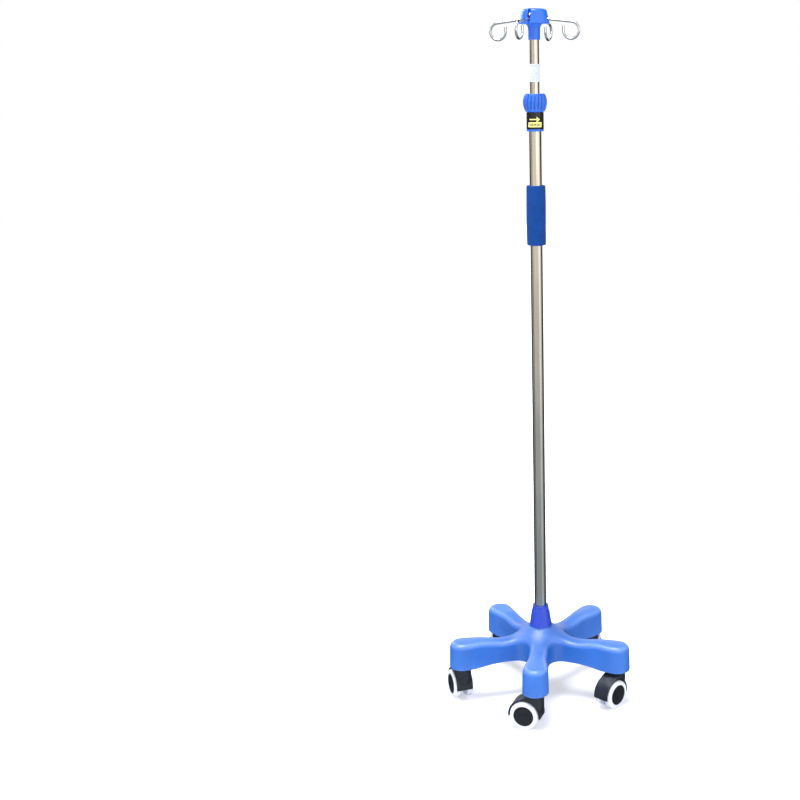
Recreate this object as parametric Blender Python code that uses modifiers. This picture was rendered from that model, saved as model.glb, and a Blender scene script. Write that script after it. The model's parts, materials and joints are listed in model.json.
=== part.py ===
"""Mobile drip stand: a telescopic steel pole on a five-leg moulded base with twin-wheel casters.

The pole axis is Z, the floor is z = 0 and the front leg points to -Y. All sizes are in metres.
Each sub-part is an object of its own. Moving pieces have their origin, or their parent empty,
on the axis that they turn or slide on.
"""
import math

import bmesh
import bpy
from mathutils import Matrix, Vector

MM = 0.001

# Clearances
TOUCH = 0.3 * MM            # between pieces that are pressed, glued or bolted together
RUNNING = 0.5 * MM          # between pieces that turn or slide in each other

# Casters, each in its own frame: swivel axis at x = 0, floor at z = 0, wheels behind at -x
WHEEL_RADIUS = 30 * MM
WHEEL_WIDTH = 13 * MM
WEB_WALL = 1.7 * MM         # of the hood's web beside the stem
TYRE_SEAT_RADIUS = 19.8 * MM
TYRE_CHAMFER = 3.2 * MM
CASTER_TRAIL = 20 * MM
AXLE_RADIUS = 3 * MM
FENDER_GAP = 1.5 * MM
FENDER_WALL = 2.5 * MM
FENDER_COVER = 9.5 * MM     # how much of each wheel's width the fender covers
BOSS_RISE = 9 * MM          # from the fender's crown to the top of the hood
BOSS_DEPTH = 28 * MM        # from the top of the hood down to where the boss tapers in
CUP_LIP = 3 * MM            # width of the rim round the hood's cup
CUP_DEPTH = 2.5 * MM
CORE_FACE = 4 * MM          # closed outer face of a wheel's core
AXLE_END_GAP = 1 * MM
STEM_RADIUS = 5.5 * MM
STEM_FLANGE_RADIUS = 9 * MM
STEM_GRIP = 35 * MM         # length of stem inside the leg
STEM_NOSE = 25 * MM         # length of stem inside the hood

# Base moulding
LEG_COUNT = 5
STEM_CIRCLE = 171 * MM      # radius of the circle that the caster stems stand on
TIP_HALF_WIDTH = 27 * MM
WAIST_HALF_WIDTH = 20.5 * MM
WAIST_RADIUS = 112 * MM     # where a leg is narrowest
CROTCH_FILLET = 26 * MM
LEG_CLEARANCE = 2.5 * MM    # between the hood and the leg above it
LEG_HEIGHT = 56 * MM        # at the tip
SADDLE_DIP = 5.5 * MM       # how far the leg sinks between tip and hub
SADDLE_RADIUS = 85 * MM
HUB_RISE = 18.5 * MM        # from the top of a leg's tip to the hub's seat
HUB_SEAT_WIDTH = 13.5 * MM  # the flat ring round the pole that the cone stands on
UNDERSIDE_ARCH = 6.5 * MM   # how much higher the skirt ends near the hub
BASE_WALL = 3.5 * MM
EDGE_FILLET = 12 * MM
WALL_DRAFT = 1 * MM
SOCKET_WALL = 4 * MM
SOCKET_RECESS = 2 * MM      # from the skirt's edge up to the socket's face
RIB_THICKNESS = 2.6 * MM
HUB_BOSS_WALL = 4 * MM
HUB_FLOOR = 4 * MM
HUB_FLOOR_RISE = 8.5 * MM   # from the skirt's edge at a tip up to the hub floor

# Pole
BUSH_WALL = 1.2 * MM        # the slider's sleeve between the two tubes
LOWER_TUBE_WALL = 1.2 * MM
LOWER_TUBE_LENGTH = 1110 * MM
UPPER_TUBE_RADIUS = 9.5 * MM
UPPER_TUBE_WALL = 1 * MM
UPPER_TUBE_LENGTH = 1050 * MM
BUSH_HEIGHT = 40 * MM
MAST_EXPOSED = 102.5 * MM   # bare upper tube between the knob and the head at rest
PLUG_HEIGHT = 30 * MM
BOLT_RADIUS = 4 * MM
BOLT_SHANK = 28 * MM
BOLT_HEAD_ACROSS_FLATS = 13 * MM
BOLT_HEAD_HEIGHT = 5 * MM
WASHER_RADIUS = 14 * MM
WASHER_THICKNESS = 1.8 * MM
CONE_HEIGHT = 44.7 * MM
CONE_MARGIN = 2 * MM        # of the hub's seat left bare round the cone
CONE_LIP = 3.7 * MM         # thickness round the pole at the cone's top
CONE_WALL = 2.6 * MM
GRIP_LENGTH = 119 * MM
GRIP_WALL = 6.5 * MM
GRIP_BELOW_COLLAR = 106 * MM

# Lock
COLLAR_WALL = 3.6 * MM      # round the lower tube
COLLAR_RIM = 0.7 * MM       # how far the lower rim stands out past the sticker's seat
COLLAR_RIM_HEIGHT = 4 * MM
COLLAR_GRIP = 12 * MM       # length of lower tube inside the collar
COLLAR_HEIGHT = 37 * MM
SPIGOT_WALL = 1.4 * MM      # at the mouth of the collet's cone
SPIGOT_HEIGHT = 18 * MM
COLLET_HEIGHT = 20 * MM
COLLET_WALL = 2.6 * MM
COLLET_TOE = 0.3 * MM       # thickness at the collet's thin end
COLLET_SPLIT = 1.6 * MM
KNOB_HEIGHT = 35 * MM
KNOB_OVERHANG = 1.2 * MM    # of the knob's foot past the collar
KNOB_BULGE = 6.15 * MM      # of the barrel past the foot
KNOB_TAPER = 0.6 * MM       # how much slimmer the shoulder is than the foot
KNOB_FLUTES = 18
FLUTE_DEPTH = 1.2 * MM
LABEL_THICKNESS = 0.3 * MM
TUBE_LABEL_HEIGHT = 34 * MM
TUBE_LABEL_BELOW_NECK = 46 * MM

# Head and hooks
NECK_HEIGHT = 30 * MM
NECK_WALL = 1.9 * MM
NECK_FLARE = 4 * MM
NECK_SEAT = 27.5 * MM       # length of upper tube inside the neck
HEAD_HEIGHT = 29 * MM
HEAD_FOOT_RADIUS = 28.6 * MM
HEAD_TOP_RADIUS = 23.2 * MM
HEAD_LAND_RADIUS = 12 * MM
HEAD_SQUARENESS = 2.6       # 2 is round, more is squarer
HOOK_COUNT = 4
HEAD_TURN = math.radians(-17.7)
SLOT_CLEARANCE = 0.6 * MM
SLOT_FLOOR = 5.2 * MM       # above the underside of the head
HOOK_WIRE_RADIUS = 2.5 * MM
HEAD_CORE_RADIUS = 10.5 * MM    # solid middle of the head, inside the slots
HOOK_PIN_RADIUS = 1.5 * MM
HOOK_PIN_SEAT = 5 * MM      # length of pin held in the head at each side
HOOK_DROOP = math.radians(6.5)
HOOK_ARM = 61 * MM          # from the eye to the start of the loop
HOOK_LOOP_RADIUS = 16 * MM
HOOK_TAIL = 8 * MM

# The way each caster points at rest, as the heading of its wheels seen from above, in degrees
CASTER_HEADINGS = {
    "front": 166.3,
    "right": 231.3,
    "rear_right": 84.0,
    "rear_left": 100.0,
    "left": 115.3,
}

# Heights and radii that follow
AXLE_HEIGHT = WHEEL_RADIUS
FENDER_INNER = WHEEL_RADIUS + FENDER_GAP
FENDER_OUTER = FENDER_INNER + FENDER_WALL
HOOD_TOP = AXLE_HEIGHT + FENDER_OUTER + BOSS_RISE
CUP_FLOOR = HOOD_TOP - CUP_DEPTH
WEB_HALF_WIDTH = STEM_RADIUS + TOUCH + WEB_WALL
WHEEL_SPACING = 2 * (WEB_HALF_WIDTH + RUNNING)      # between the inner faces of the two wheels
HOOD_HALF_WIDTH = WHEEL_SPACING / 2 + FENDER_COVER
LEG_UNDERSIDE = HOOD_TOP + LEG_CLEARANCE
SOCKET_FACE = LEG_UNDERSIDE + SOCKET_RECESS
SOCKET_RADIUS = STEM_RADIUS + TOUCH + SOCKET_WALL
TIP_TOP = LEG_UNDERSIDE + LEG_HEIGHT
HUB_TOP = TIP_TOP + HUB_RISE
HUB_FLOOR_BOTTOM = LEG_UNDERSIDE + HUB_FLOOR_RISE
TUBE_FOOT = HUB_FLOOR_BOTTOM + HUB_FLOOR + TOUCH
LOWER_TUBE_TOP = TUBE_FOOT + LOWER_TUBE_LENGTH
LOWER_TUBE_BORE = UPPER_TUBE_RADIUS + TOUCH + BUSH_WALL + TOUCH
LOWER_TUBE_RADIUS = LOWER_TUBE_BORE + LOWER_TUBE_WALL
HUB_SEAT_RADIUS = LOWER_TUBE_RADIUS + HUB_SEAT_WIDTH
CONE_FOOT_RADIUS = HUB_SEAT_RADIUS - CONE_MARGIN
CONE_TOP_RADIUS = LOWER_TUBE_RADIUS + TOUCH + CONE_LIP
LABEL_BORE = UPPER_TUBE_RADIUS + TOUCH
MAST_BORE = LABEL_BORE + LABEL_THICKNESS + TOUCH    # the sticker on the mast passes through too
COLLAR_FOOT = LOWER_TUBE_TOP - COLLAR_GRIP
COLLAR_TOP = COLLAR_FOOT + COLLAR_HEIGHT
COLLAR_RADIUS = LOWER_TUBE_RADIUS + TOUCH + COLLAR_WALL
COLLET_MOUTH = MAST_BORE + COLLET_WALL - TOUCH      # widest radius of the cone that the collet sits in
SPIGOT_RADIUS = COLLET_MOUTH + SPIGOT_WALL
SPIGOT_TOP = COLLAR_TOP + SPIGOT_HEIGHT
KNOB_FOOT_RADIUS = COLLAR_RADIUS + KNOB_OVERHANG
KNOB_SHOULDER_RADIUS = KNOB_FOOT_RADIUS - KNOB_TAPER
KNOB_RADIUS = KNOB_FOOT_RADIUS + KNOB_BULGE
KNOB_FOOT = COLLAR_TOP + RUNNING
KNOB_TOP = KNOB_FOOT + KNOB_HEIGHT
NECK_FOOT = KNOB_TOP + MAST_EXPOSED
HEAD_FOOT = NECK_FOOT + NECK_HEIGHT
HEAD_TOP = HEAD_FOOT + HEAD_HEIGHT
NECK_RADIUS = UPPER_TUBE_RADIUS + TOUCH + NECK_WALL
UPPER_TUBE_TOP = NECK_FOOT + NECK_SEAT
UPPER_TUBE_FOOT = UPPER_TUBE_TOP - UPPER_TUBE_LENGTH
HOOK_EYE_RADIUS = HOOK_PIN_RADIUS + HOOK_WIRE_RADIUS + 0.4 * MM
HOOK_PIVOT_RADIUS = HEAD_CORE_RADIUS + SLOT_CLEARANCE + HOOK_EYE_RADIUS + HOOK_WIRE_RADIUS
ARM_DROP_AT_RIM = (HEAD_FOOT_RADIUS * 1.08 - HOOK_PIVOT_RADIUS) * math.tan(HOOK_DROOP)
HOOK_PIVOT_HEIGHT = (HEAD_FOOT + SLOT_FLOOR + 0.4 * MM + ARM_DROP_AT_RIM
                     + (HOOK_EYE_RADIUS + HOOK_WIRE_RADIUS) / math.cos(HOOK_DROOP))
LEG_STEP = 2 * math.pi / LEG_COUNT
FRONT_ANGLE = -math.pi / 2


# --- Scene and materials -------------------------------------------------------------------

def clear_scene():
    for obj in list(bpy.data.objects):
        bpy.data.objects.remove(obj)


def new_collection(name):
    collection = bpy.data.collections.new(name)
    bpy.context.scene.collection.children.link(collection)
    return collection


def linear(channel):
    """Turn one 0-255 display channel into the linear value that a shader takes."""
    value = channel / 255
    return value / 12.92 if value <= 0.04045 else ((value + 0.055) / 1.055) ** 2.4


def new_material(name, display_colour, roughness, metallic=0.0):
    material = bpy.data.materials.new(name)
    material.use_nodes = True
    shader = material.node_tree.nodes["Principled BSDF"]
    shader.inputs["Base Color"].default_value = (*[linear(c) for c in display_colour], 1)
    shader.inputs["Roughness"].default_value = roughness
    shader.inputs["Metallic"].default_value = metallic
    return material


FINISHES = {
    "base_blue": ((74, 138, 240), 0.38, 0.0),
    "cone_blue": ((62, 98, 232), 0.35, 0.0),
    "head_blue": ((55, 105, 232), 0.35, 0.0),
    "grip_foam": ((18, 92, 176), 0.9, 0.0),
    "stainless": ((205, 200, 190), 0.18, 1.0),
    "hook_steel": ((215, 222, 224), 0.12, 1.0),
    "zinc_steel": ((170, 172, 176), 0.35, 1.0),
    "hood_black": ((26, 32, 44), 0.45, 0.0),
    "wheel_black": ((20, 22, 30), 0.5, 0.0),
    "tyre_grey": ((222, 230, 245), 0.5, 0.0),
    "bush_white": ((230, 230, 225), 0.45, 0.0),
    "sticker_black": ((18, 18, 20), 0.3, 0.0),
    "sticker_white": ((228, 236, 250), 0.45, 0.0),
}


def place(name, mesh, finish, parent=None, location=(0, 0, 0), rotation=(0, 0, 0)):
    """Make the finished object of one sub-part and put it in the stand's collection."""
    obj = bpy.data.objects.new(name, mesh)
    stand.objects.link(obj)
    obj.location = location
    obj.rotation_euler = rotation
    obj.parent = parent
    mesh.materials.clear()
    mesh.materials.append(materials[finish])
    mesh.shade_smooth()
    mesh.set_sharp_from_angle(angle=math.radians(32))
    return obj


def pivot(name, location, rotation=(0, 0, 0), parent=None):
    """An empty that marks a joint's axis."""
    empty = bpy.data.objects.new(name, None)
    stand.objects.link(empty)
    empty.empty_display_size = 20 * MM
    empty.location = location
    empty.rotation_euler = rotation
    empty.parent = parent
    return empty


# --- Shapes --------------------------------------------------------------------------------

def tool(name, data):
    """An object in the cutters' collection, which is only used to make other shapes."""
    obj = bpy.data.objects.new(name, data)
    obj.hide_render = True
    obj.display_type = 'WIRE'
    cutters.objects.link(obj)
    return obj


def bake(obj, weld=False):
    """The object's mesh in its own place, with its modifiers applied and its faces outward."""
    bpy.context.view_layer.update()
    graph = bpy.context.evaluated_depsgraph_get()
    mesh = bpy.data.meshes.new_from_object(obj.evaluated_get(graph))
    mesh.transform(obj.matrix_world)
    work = bmesh.new()
    work.from_mesh(mesh)
    if weld:
        bmesh.ops.remove_doubles(work, verts=work.verts, dist=0.01 * MM)
    bmesh.ops.recalc_face_normals(work, faces=work.faces)
    work.to_mesh(mesh)
    work.free()
    bpy.data.objects.remove(obj)
    return mesh


def turned(name, profile, steps, closed=True):
    """A profile of (radius, height) points turned about Z. It runs down the outer side.

    An open profile starts and ends on the axis. A closed one goes back up the inner side.
    """
    points = [(radius, 0, height) for radius, height in profile]
    edges = [(i, i + 1) for i in range(len(points) - 1)]
    if closed:
        edges.append((len(points) - 1, 0))
    mesh = bpy.data.meshes.new(name)
    mesh.from_pydata(points, edges, [])
    obj = tool(name, mesh)
    screw = obj.modifiers.new("Turn", 'SCREW')
    screw.steps = steps
    screw.render_steps = steps
    screw.use_merge_vertices = True
    screw.merge_threshold = 0.01 * MM
    return tool(name, bake(obj, weld=True))


def tube(name, outer, inner, bottom, top, steps=28):
    return turned(name, [(outer, top), (outer, bottom), (inner, bottom), (inner, top)], steps)


def rod(name, radius, bottom, top, steps=24):
    return turned(name, [(0, top), (radius, top), (radius, bottom), (0, bottom)], steps, closed=False)


def box(name, low, high):
    work = bmesh.new()
    bmesh.ops.create_cube(work, size=1)
    low, high = Vector(low), Vector(high)
    size = Matrix.Diagonal((*(high - low), 1))
    bmesh.ops.transform(work, matrix=Matrix.Translation((low + high) / 2) @ size, verts=work.verts)
    mesh = bpy.data.meshes.new(name)
    work.to_mesh(mesh)
    work.free()
    return tool(name, mesh)


def plate(name, outline, half_thickness):
    """A flat outline of (x, z) points, standing in the XZ plane, as thick along Y as stated."""
    curve = bpy.data.curves.new(name, 'CURVE')
    curve.dimensions = '2D'
    curve.fill_mode = 'BOTH'
    curve.extrude = half_thickness
    spline = curve.splines.new('POLY')
    spline.points.add(len(outline) - 1)
    for point, (x, z) in zip(spline.points, outline):
        point.co = (x, z, 0, 1)
    spline.use_cyclic_u = True
    obj = tool(name, curve)
    obj.rotation_euler = (math.pi / 2, 0, 0)
    return tool(name, bake(obj, weld=True))


def wire(name, points, radius, sides=2):
    """A round wire with closed ends through the points."""
    curve = bpy.data.curves.new(name, 'CURVE')
    curve.dimensions = '3D'
    curve.bevel_depth = radius
    curve.bevel_resolution = sides
    curve.use_fill_caps = True
    spline = curve.splines.new('POLY')
    spline.points.add(len(points) - 1)
    for point, position in zip(spline.points, points):
        point.co = (*position, 1)
    return tool(name, bake(tool(name, curve), weld=True))


def arc(centre, radius, start, end, count):
    """Points on a circle round (x, z), from one angle in degrees to another."""
    angles = [math.radians(start + (end - start) * i / (count - 1)) for i in range(count)]
    return [(centre[0] + radius * math.cos(a), centre[1] + radius * math.sin(a)) for a in angles]


def combine(obj, other, operation):
    boolean = obj.modifiers.new(operation.title(), 'BOOLEAN')
    boolean.operation = operation
    boolean.solver = 'EXACT'
    boolean.object = other


def cut(obj, *others):
    for other in others:
        combine(obj, other, 'DIFFERENCE')


def join(obj, *others):
    for other in others:
        combine(obj, other, 'UNION')


def smoothstep(value):
    value = min(max(value, 0.0), 1.0)
    return value * value * (3 - 2 * value)


# --- Base ----------------------------------------------------------------------------------

def leg_angle(index):
    return FRONT_ANGLE + index * LEG_STEP


def leg_top(radius):
    """Height of the moulding's top along a leg: hub, saddle, raised tip."""
    saddle = TIP_TOP - SADDLE_DIP
    if radius < SADDLE_RADIUS:
        reach = (radius - HUB_SEAT_RADIUS) / (SADDLE_RADIUS - HUB_SEAT_RADIUS)
        return saddle + (HUB_TOP - 1 * MM - saddle) * (1 - min(max(reach, 0.0), 1.0)) ** 2.2
    return saddle + SADDLE_DIP * smoothstep((radius - SADDLE_RADIUS) / (0.3 * STEM_CIRCLE))


def leg_bottom(radius):
    """Height of the skirt's lower edge, which arches up towards the hub."""
    reach = (radius - 0.5 * STEM_CIRCLE) / (0.4 * STEM_CIRCLE)
    return LEG_UNDERSIDE + UNDERSIDE_ARCH * (1 - smoothstep(reach))


def half_leg_outline():
    """Pairs of a point on a leg's side and the point of its centre line that it shrinks to.

    From the crotch between two legs, round the crotch's fillet, along the waisted side and
    round the tip. Points are (along the leg, across it).
    """
    fillet_along = (WAIST_HALF_WIDTH + CROTCH_FILLET) / math.tan(LEG_STEP / 2)
    fillet_across = WAIST_HALF_WIDTH + CROTCH_FILLET
    pairs = []
    for i in range(3):
        share = i / 3
        angle = 1.5 * math.pi - (1 - share) * (math.pi / 2 - LEG_STEP / 2)
        along = fillet_along + CROTCH_FILLET * math.cos(angle)
        across = fillet_across + CROTCH_FILLET * math.sin(angle)
        pairs.append(((along, across), fillet_along * share))
    for i in range(4):
        along = fillet_along + (STEM_CIRCLE - fillet_along) * i / 4
        spread = (along - WAIST_RADIUS) / (STEM_CIRCLE - WAIST_RADIUS)
        across = WAIST_HALF_WIDTH + (TIP_HALF_WIDTH - WAIST_HALF_WIDTH) * smoothstep(spread)
        pairs.append(((along, across), along))
    for i in range(5):
        angle = math.pi / 2 * i / 4
        along = STEM_CIRCLE + TIP_HALF_WIDTH * math.sin(angle)
        pairs.append(((along, TIP_HALF_WIDTH * math.cos(angle)), STEM_CIRCLE))
    return pairs


def base_ring(level):
    """One closed ring of the base's skin, all round its five legs.

    A level is (inset, drop, share): metres in from the outline, metres down from the top
    surface, and how much of what is left to the legs' centre lines is covered too.
    """
    inset, drop, share = level
    half = half_leg_outline()
    mirrored = [((along, -across), middle) for (along, across), middle in half]
    leg = mirrored + half[-2:0:-1]
    ring = []
    for index in range(LEG_COUNT):
        turn = Matrix.Rotation(leg_angle(index), 3, 'Z')
        for (along, across), middle in leg:
            edge = Vector((along, across, 0))
            spine = Vector((middle, 0, 0))
            reach = (spine - edge).length
            point = edge.lerp(spine, min(inset / reach, 1.0))
            point = turn @ point.lerp(spine, share)
            radius = point.length
            point.z = leg_bottom(radius) if drop is None else leg_top(radius) - drop
            ring.append(point)
    return ring


def base_skin():
    """The open skin of the five-leg moulding: rings from the skirt's edge up to the spines."""
    levels = [(0, None, 0), (WALL_DRAFT, EDGE_FILLET, 0)]
    for angle in (math.pi / 4, math.pi / 2):
        inset = WALL_DRAFT + EDGE_FILLET * (1 - math.cos(angle))
        levels.append((inset, EDGE_FILLET * (1 - math.sin(angle)), 0))
    levels += [(levels[-1][0], 0, 0.45), (levels[-1][0], 0, 1)]
    work = bmesh.new()
    rings = [[work.verts.new(point) for point in base_ring(level)] for level in levels]
    count = len(rings[0])
    for low, high in zip(rings, rings[1:]):
        for i in range(count):
            j = (i + 1) % count
            work.faces.new((low[i], low[j], high[j], high[i]))
    bmesh.ops.remove_doubles(work, verts=work.verts, dist=0.01 * MM)
    bmesh.ops.dissolve_degenerate(work, edges=work.edges, dist=0.01 * MM)
    bmesh.ops.recalc_face_normals(work, faces=work.faces)
    mesh = bpy.data.meshes.new("base_skin")
    work.to_mesh(mesh)
    work.free()
    return mesh


def rib_outline():
    """A leg's stiffening rib, from the hub's boss to the stem socket, as (radius, height)."""
    start = LOWER_TUBE_RADIUS + HUB_BOSS_WALL / 2
    end = STEM_CIRCLE - SOCKET_RADIUS + SOCKET_WALL / 2
    stations = [start + (end - start) * i / 8 for i in range(9)]
    top = [(r, leg_top(r) - 0.6 * BASE_WALL) for r in stations]
    bottom = [(r, leg_bottom(r) + SOCKET_RECESS) for r in (start, 0.5 * STEM_CIRCLE, end)]
    return bottom + top[::-1]


def make_socket():
    """A stem socket: a blind tube whose crown ends inside the leg's skin."""
    crown = leg_top(STEM_CIRCLE) - BASE_WALL / 2
    bore = STEM_RADIUS + TOUCH
    bore_top = SOCKET_FACE + STEM_GRIP + TOUCH
    profile = [
        (0, crown),
        (SOCKET_RADIUS, crown),
        (SOCKET_RADIUS, SOCKET_FACE),
        (bore, SOCKET_FACE),
        (bore, bore_top),
        (0, bore_top),
    ]
    return turned("socket", profile, 16, closed=False)


def make_base_frame():
    """What stiffens the moulding from inside: hub boss and seat, radial ribs, stem sockets."""
    boss_radius = LOWER_TUBE_RADIUS + TOUCH + HUB_BOSS_WALL
    seat_foot = HUB_TOP - 0.6 * BASE_WALL
    profile = [
        (0, HUB_TOP),
        (HUB_SEAT_RADIUS, HUB_TOP),
        (HUB_SEAT_RADIUS, seat_foot),
        (boss_radius, seat_foot),
        (boss_radius, HUB_FLOOR_BOTTOM),
        (0, HUB_FLOOR_BOTTOM),
    ]
    frame = turned("hub_boss", profile, 24, closed=False)
    rib = plate("rib", rib_outline(), RIB_THICKNESS / 2).data
    socket = make_socket().data
    for index in range(LEG_COUNT):
        turn = Matrix.Rotation(leg_angle(index), 4, 'Z')
        leg_rib = tool(f"rib_{index}", rib)
        leg_rib.matrix_world = turn
        leg_socket = tool(f"socket_{index}", socket)
        leg_socket.matrix_world = turn @ Matrix.Translation((STEM_CIRCLE, 0, 0))
        join(frame, leg_rib, leg_socket)
    return tool("base_frame", bake(frame))


def make_base_shell():
    """The five-leg moulding: a thin skin joined to its inner frame, then bored for the pole."""
    shell = tool("base_form", base_skin())
    wall = shell.modifiers.new("Wall", 'SOLIDIFY')
    wall.thickness = BASE_WALL
    wall.offset = -1
    join(shell, make_base_frame())
    bore = LOWER_TUBE_RADIUS + TOUCH
    hole = BOLT_RADIUS + TOUCH
    profile = [
        (0, HUB_TOP + BASE_WALL),
        (bore, HUB_TOP + BASE_WALL),
        (bore, TUBE_FOOT - TOUCH),
        (hole, TUBE_FOOT - TOUCH),
        (hole, LEG_UNDERSIDE),
        (0, LEG_UNDERSIDE),
    ]
    cut(shell, turned("pole_bore", profile, 24, closed=False))
    place("base_shell", bake(shell), "base_blue")


def make_hub_cone():
    """The cone that covers where the pole enters the base, with a stepped collar on top."""
    foot = HUB_TOP + TOUCH
    top = foot + CONE_HEIGHT
    bore = LOWER_TUBE_RADIUS + TOUCH
    step = top - 0.27 * CONE_HEIGHT
    slope = (CONE_FOOT_RADIUS - CONE_TOP_RADIUS) / CONE_HEIGHT
    step_radius = CONE_TOP_RADIUS + slope * (top - step)
    profile = [
        (CONE_TOP_RADIUS - 0.5 * MM, top),
        (CONE_TOP_RADIUS, top - 0.6 * MM),
        (step_radius - 0.4 * MM, step),
        (step_radius + 0.2 * MM, step - 0.5 * MM),
        (CONE_FOOT_RADIUS - 0.3 * MM, foot + 1.5 * MM),
        (CONE_FOOT_RADIUS, foot),
        (CONE_FOOT_RADIUS - CONE_WALL, foot),
        (step_radius - CONE_WALL, step),
        (bore, step),
        (bore, top),
    ]
    place("hub_cone", bake(turned("hub_cone", profile, 24)), "cone_blue")


def make_tube_fixing():
    """The threaded plug in the foot of the pole, and the bolt and washer that hold it down."""
    thread = BOLT_RADIUS + TOUCH
    plug_radius = LOWER_TUBE_BORE - TOUCH
    shank_top = HUB_FLOOR_BOTTOM - TOUCH - WASHER_THICKNESS - TOUCH + BOLT_SHANK
    plug_top = TUBE_FOOT + PLUG_HEIGHT
    profile = [
        (0, plug_top),
        (plug_radius - 1 * MM, plug_top),
        (plug_radius, plug_top - 1 * MM),
        (plug_radius, TUBE_FOOT),
        (thread, TUBE_FOOT),
        (thread, shank_top + 1 * MM),
        (0, shank_top + 1 * MM),
    ]
    place("tube_plug", bake(turned("tube_plug", profile, 16, closed=False)), "bush_white")
    washer_top = HUB_FLOOR_BOTTOM - TOUCH
    washer_foot = washer_top - WASHER_THICKNESS
    place("base_washer", bake(tube("base_washer", WASHER_RADIUS, thread, washer_foot, washer_top)), "zinc_steel")
    head_top = washer_foot - TOUCH
    bolt = rod("bolt", BOLT_RADIUS, head_top - BOLT_HEAD_HEIGHT / 2, shank_top, 16)
    hexagon_radius = BOLT_HEAD_ACROSS_FLATS / math.sqrt(3)
    join(bolt, rod("bolt_head", hexagon_radius, head_top - BOLT_HEAD_HEIGHT, head_top, 6))
    place("base_bolt", bake(bolt), "zinc_steel")


# --- Pole ----------------------------------------------------------------------------------

def make_tubes(mast):
    lower = tube("lower_tube", LOWER_TUBE_RADIUS, LOWER_TUBE_BORE, TUBE_FOOT, LOWER_TUBE_TOP)
    place("lower_tube", bake(lower), "stainless")
    inner = UPPER_TUBE_RADIUS - UPPER_TUBE_WALL
    upper = tube("upper_tube", UPPER_TUBE_RADIUS, inner, UPPER_TUBE_FOOT, UPPER_TUBE_TOP)
    place("upper_tube", bake(upper), "stainless", mast)
    label_top = NECK_FOOT - TUBE_LABEL_BELOW_NECK
    label_foot = label_top - TUBE_LABEL_HEIGHT
    label = tube("tube_label", LABEL_BORE + LABEL_THICKNESS, LABEL_BORE, label_foot, label_top)
    place("tube_label", bake(label), "sticker_white", mast)


def make_mast_bush(slider):
    """The plastic slider on the upper tube's foot, which runs inside the lower tube."""
    outer = LOWER_TUBE_BORE - TOUCH
    bore = UPPER_TUBE_RADIUS + TOUCH
    foot = UPPER_TUBE_FOOT + TOUCH
    top = foot + BUSH_HEIGHT
    relief = outer - 0.6 * MM
    profile = [
        (outer - 0.8 * MM, top),
        (outer, top - 1.5 * MM),
        (outer, top - 0.3 * BUSH_HEIGHT),
        (relief, top - 0.35 * BUSH_HEIGHT),
        (relief, foot + 0.35 * BUSH_HEIGHT),
        (outer, foot + 0.3 * BUSH_HEIGHT),
        (outer, foot + 1.5 * MM),
        (outer - 0.8 * MM, foot),
        (bore, foot),
        (bore, top),
    ]
    place("mast_bush", bake(turned("mast_bush", profile, 20)), "bush_white", slider)


def make_foam_grip():
    """The foam sleeve pushed on to the lower tube, as a plain closed solid."""
    top = COLLAR_FOOT - GRIP_BELOW_COLLAR
    bottom = top - GRIP_LENGTH
    bore = LOWER_TUBE_RADIUS + TOUCH
    outer = bore + GRIP_WALL
    edge = 1.5 * MM
    profile = [
        (outer - edge, top),
        (outer, top - edge),
        (outer, bottom + edge),
        (outer - edge, bottom),
        (bore, bottom),
        (bore, top),
    ]
    place("foam_grip", bake(turned("foam_grip", profile, 24)), "grip_foam")


# --- Lock ----------------------------------------------------------------------------------

def make_lock_collar():
    """The collar on the lower tube's top: a rim, a sticker's seat and the knob's spigot."""
    rim = COLLAR_RADIUS + COLLAR_RIM
    tube_bore = LOWER_TUBE_RADIUS + TOUCH
    profile = [
        (SPIGOT_RADIUS - 0.5 * MM, SPIGOT_TOP),
        (SPIGOT_RADIUS, SPIGOT_TOP - 0.5 * MM),
        (SPIGOT_RADIUS, COLLAR_TOP),
        (COLLAR_RADIUS, COLLAR_TOP),
        (COLLAR_RADIUS, COLLAR_FOOT + COLLAR_RIM_HEIGHT),
        (rim, COLLAR_FOOT + COLLAR_RIM_HEIGHT),
        (rim, COLLAR_FOOT + 0.6 * MM),
        (rim - 0.6 * MM, COLLAR_FOOT),
        (tube_bore, COLLAR_FOOT),
        (tube_bore, LOWER_TUBE_TOP + TOUCH),
        (MAST_BORE, LOWER_TUBE_TOP + TOUCH),
        (MAST_BORE, SPIGOT_TOP - COLLET_HEIGHT / 2),
        (COLLET_MOUTH, SPIGOT_TOP),
    ]
    place("lock_collar", bake(turned("lock_collar", profile, 24)), "head_blue")
    seat = COLLAR_RADIUS + TOUCH
    label_foot = COLLAR_FOOT + COLLAR_RIM_HEIGHT + TOUCH
    label = tube("lock_label", seat + LABEL_THICKNESS, seat, label_foot, COLLAR_TOP - TOUCH, 24)
    place("lock_label", bake(label), "sticker_black")


def make_collet():
    """The split ring that the knob squeezes on to the upper tube."""
    widest = COLLET_MOUTH - TOUCH
    middle = SPIGOT_TOP + TOUCH
    top = middle + COLLET_HEIGHT / 2 - 1 * MM
    taper = (COLLET_TOE + TOUCH) / (COLLET_MOUTH - MAST_BORE)
    foot = SPIGOT_TOP - COLLET_HEIGHT / 2 * (1 - taper)
    profile = [
        (MAST_BORE + 1 * MM, top),
        (widest, middle + 1 * MM),
        (widest, middle),
        (MAST_BORE + COLLET_TOE, foot),
        (MAST_BORE, foot),
        (MAST_BORE, top),
    ]
    ring = turned("collet_ring", profile, 20)
    half = COLLET_SPLIT / 2
    cut(ring, box("collet_split", (0, -half, foot - MM), (2 * widest, half, top + MM)))
    place("collet", bake(ring), "bush_white")


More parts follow.
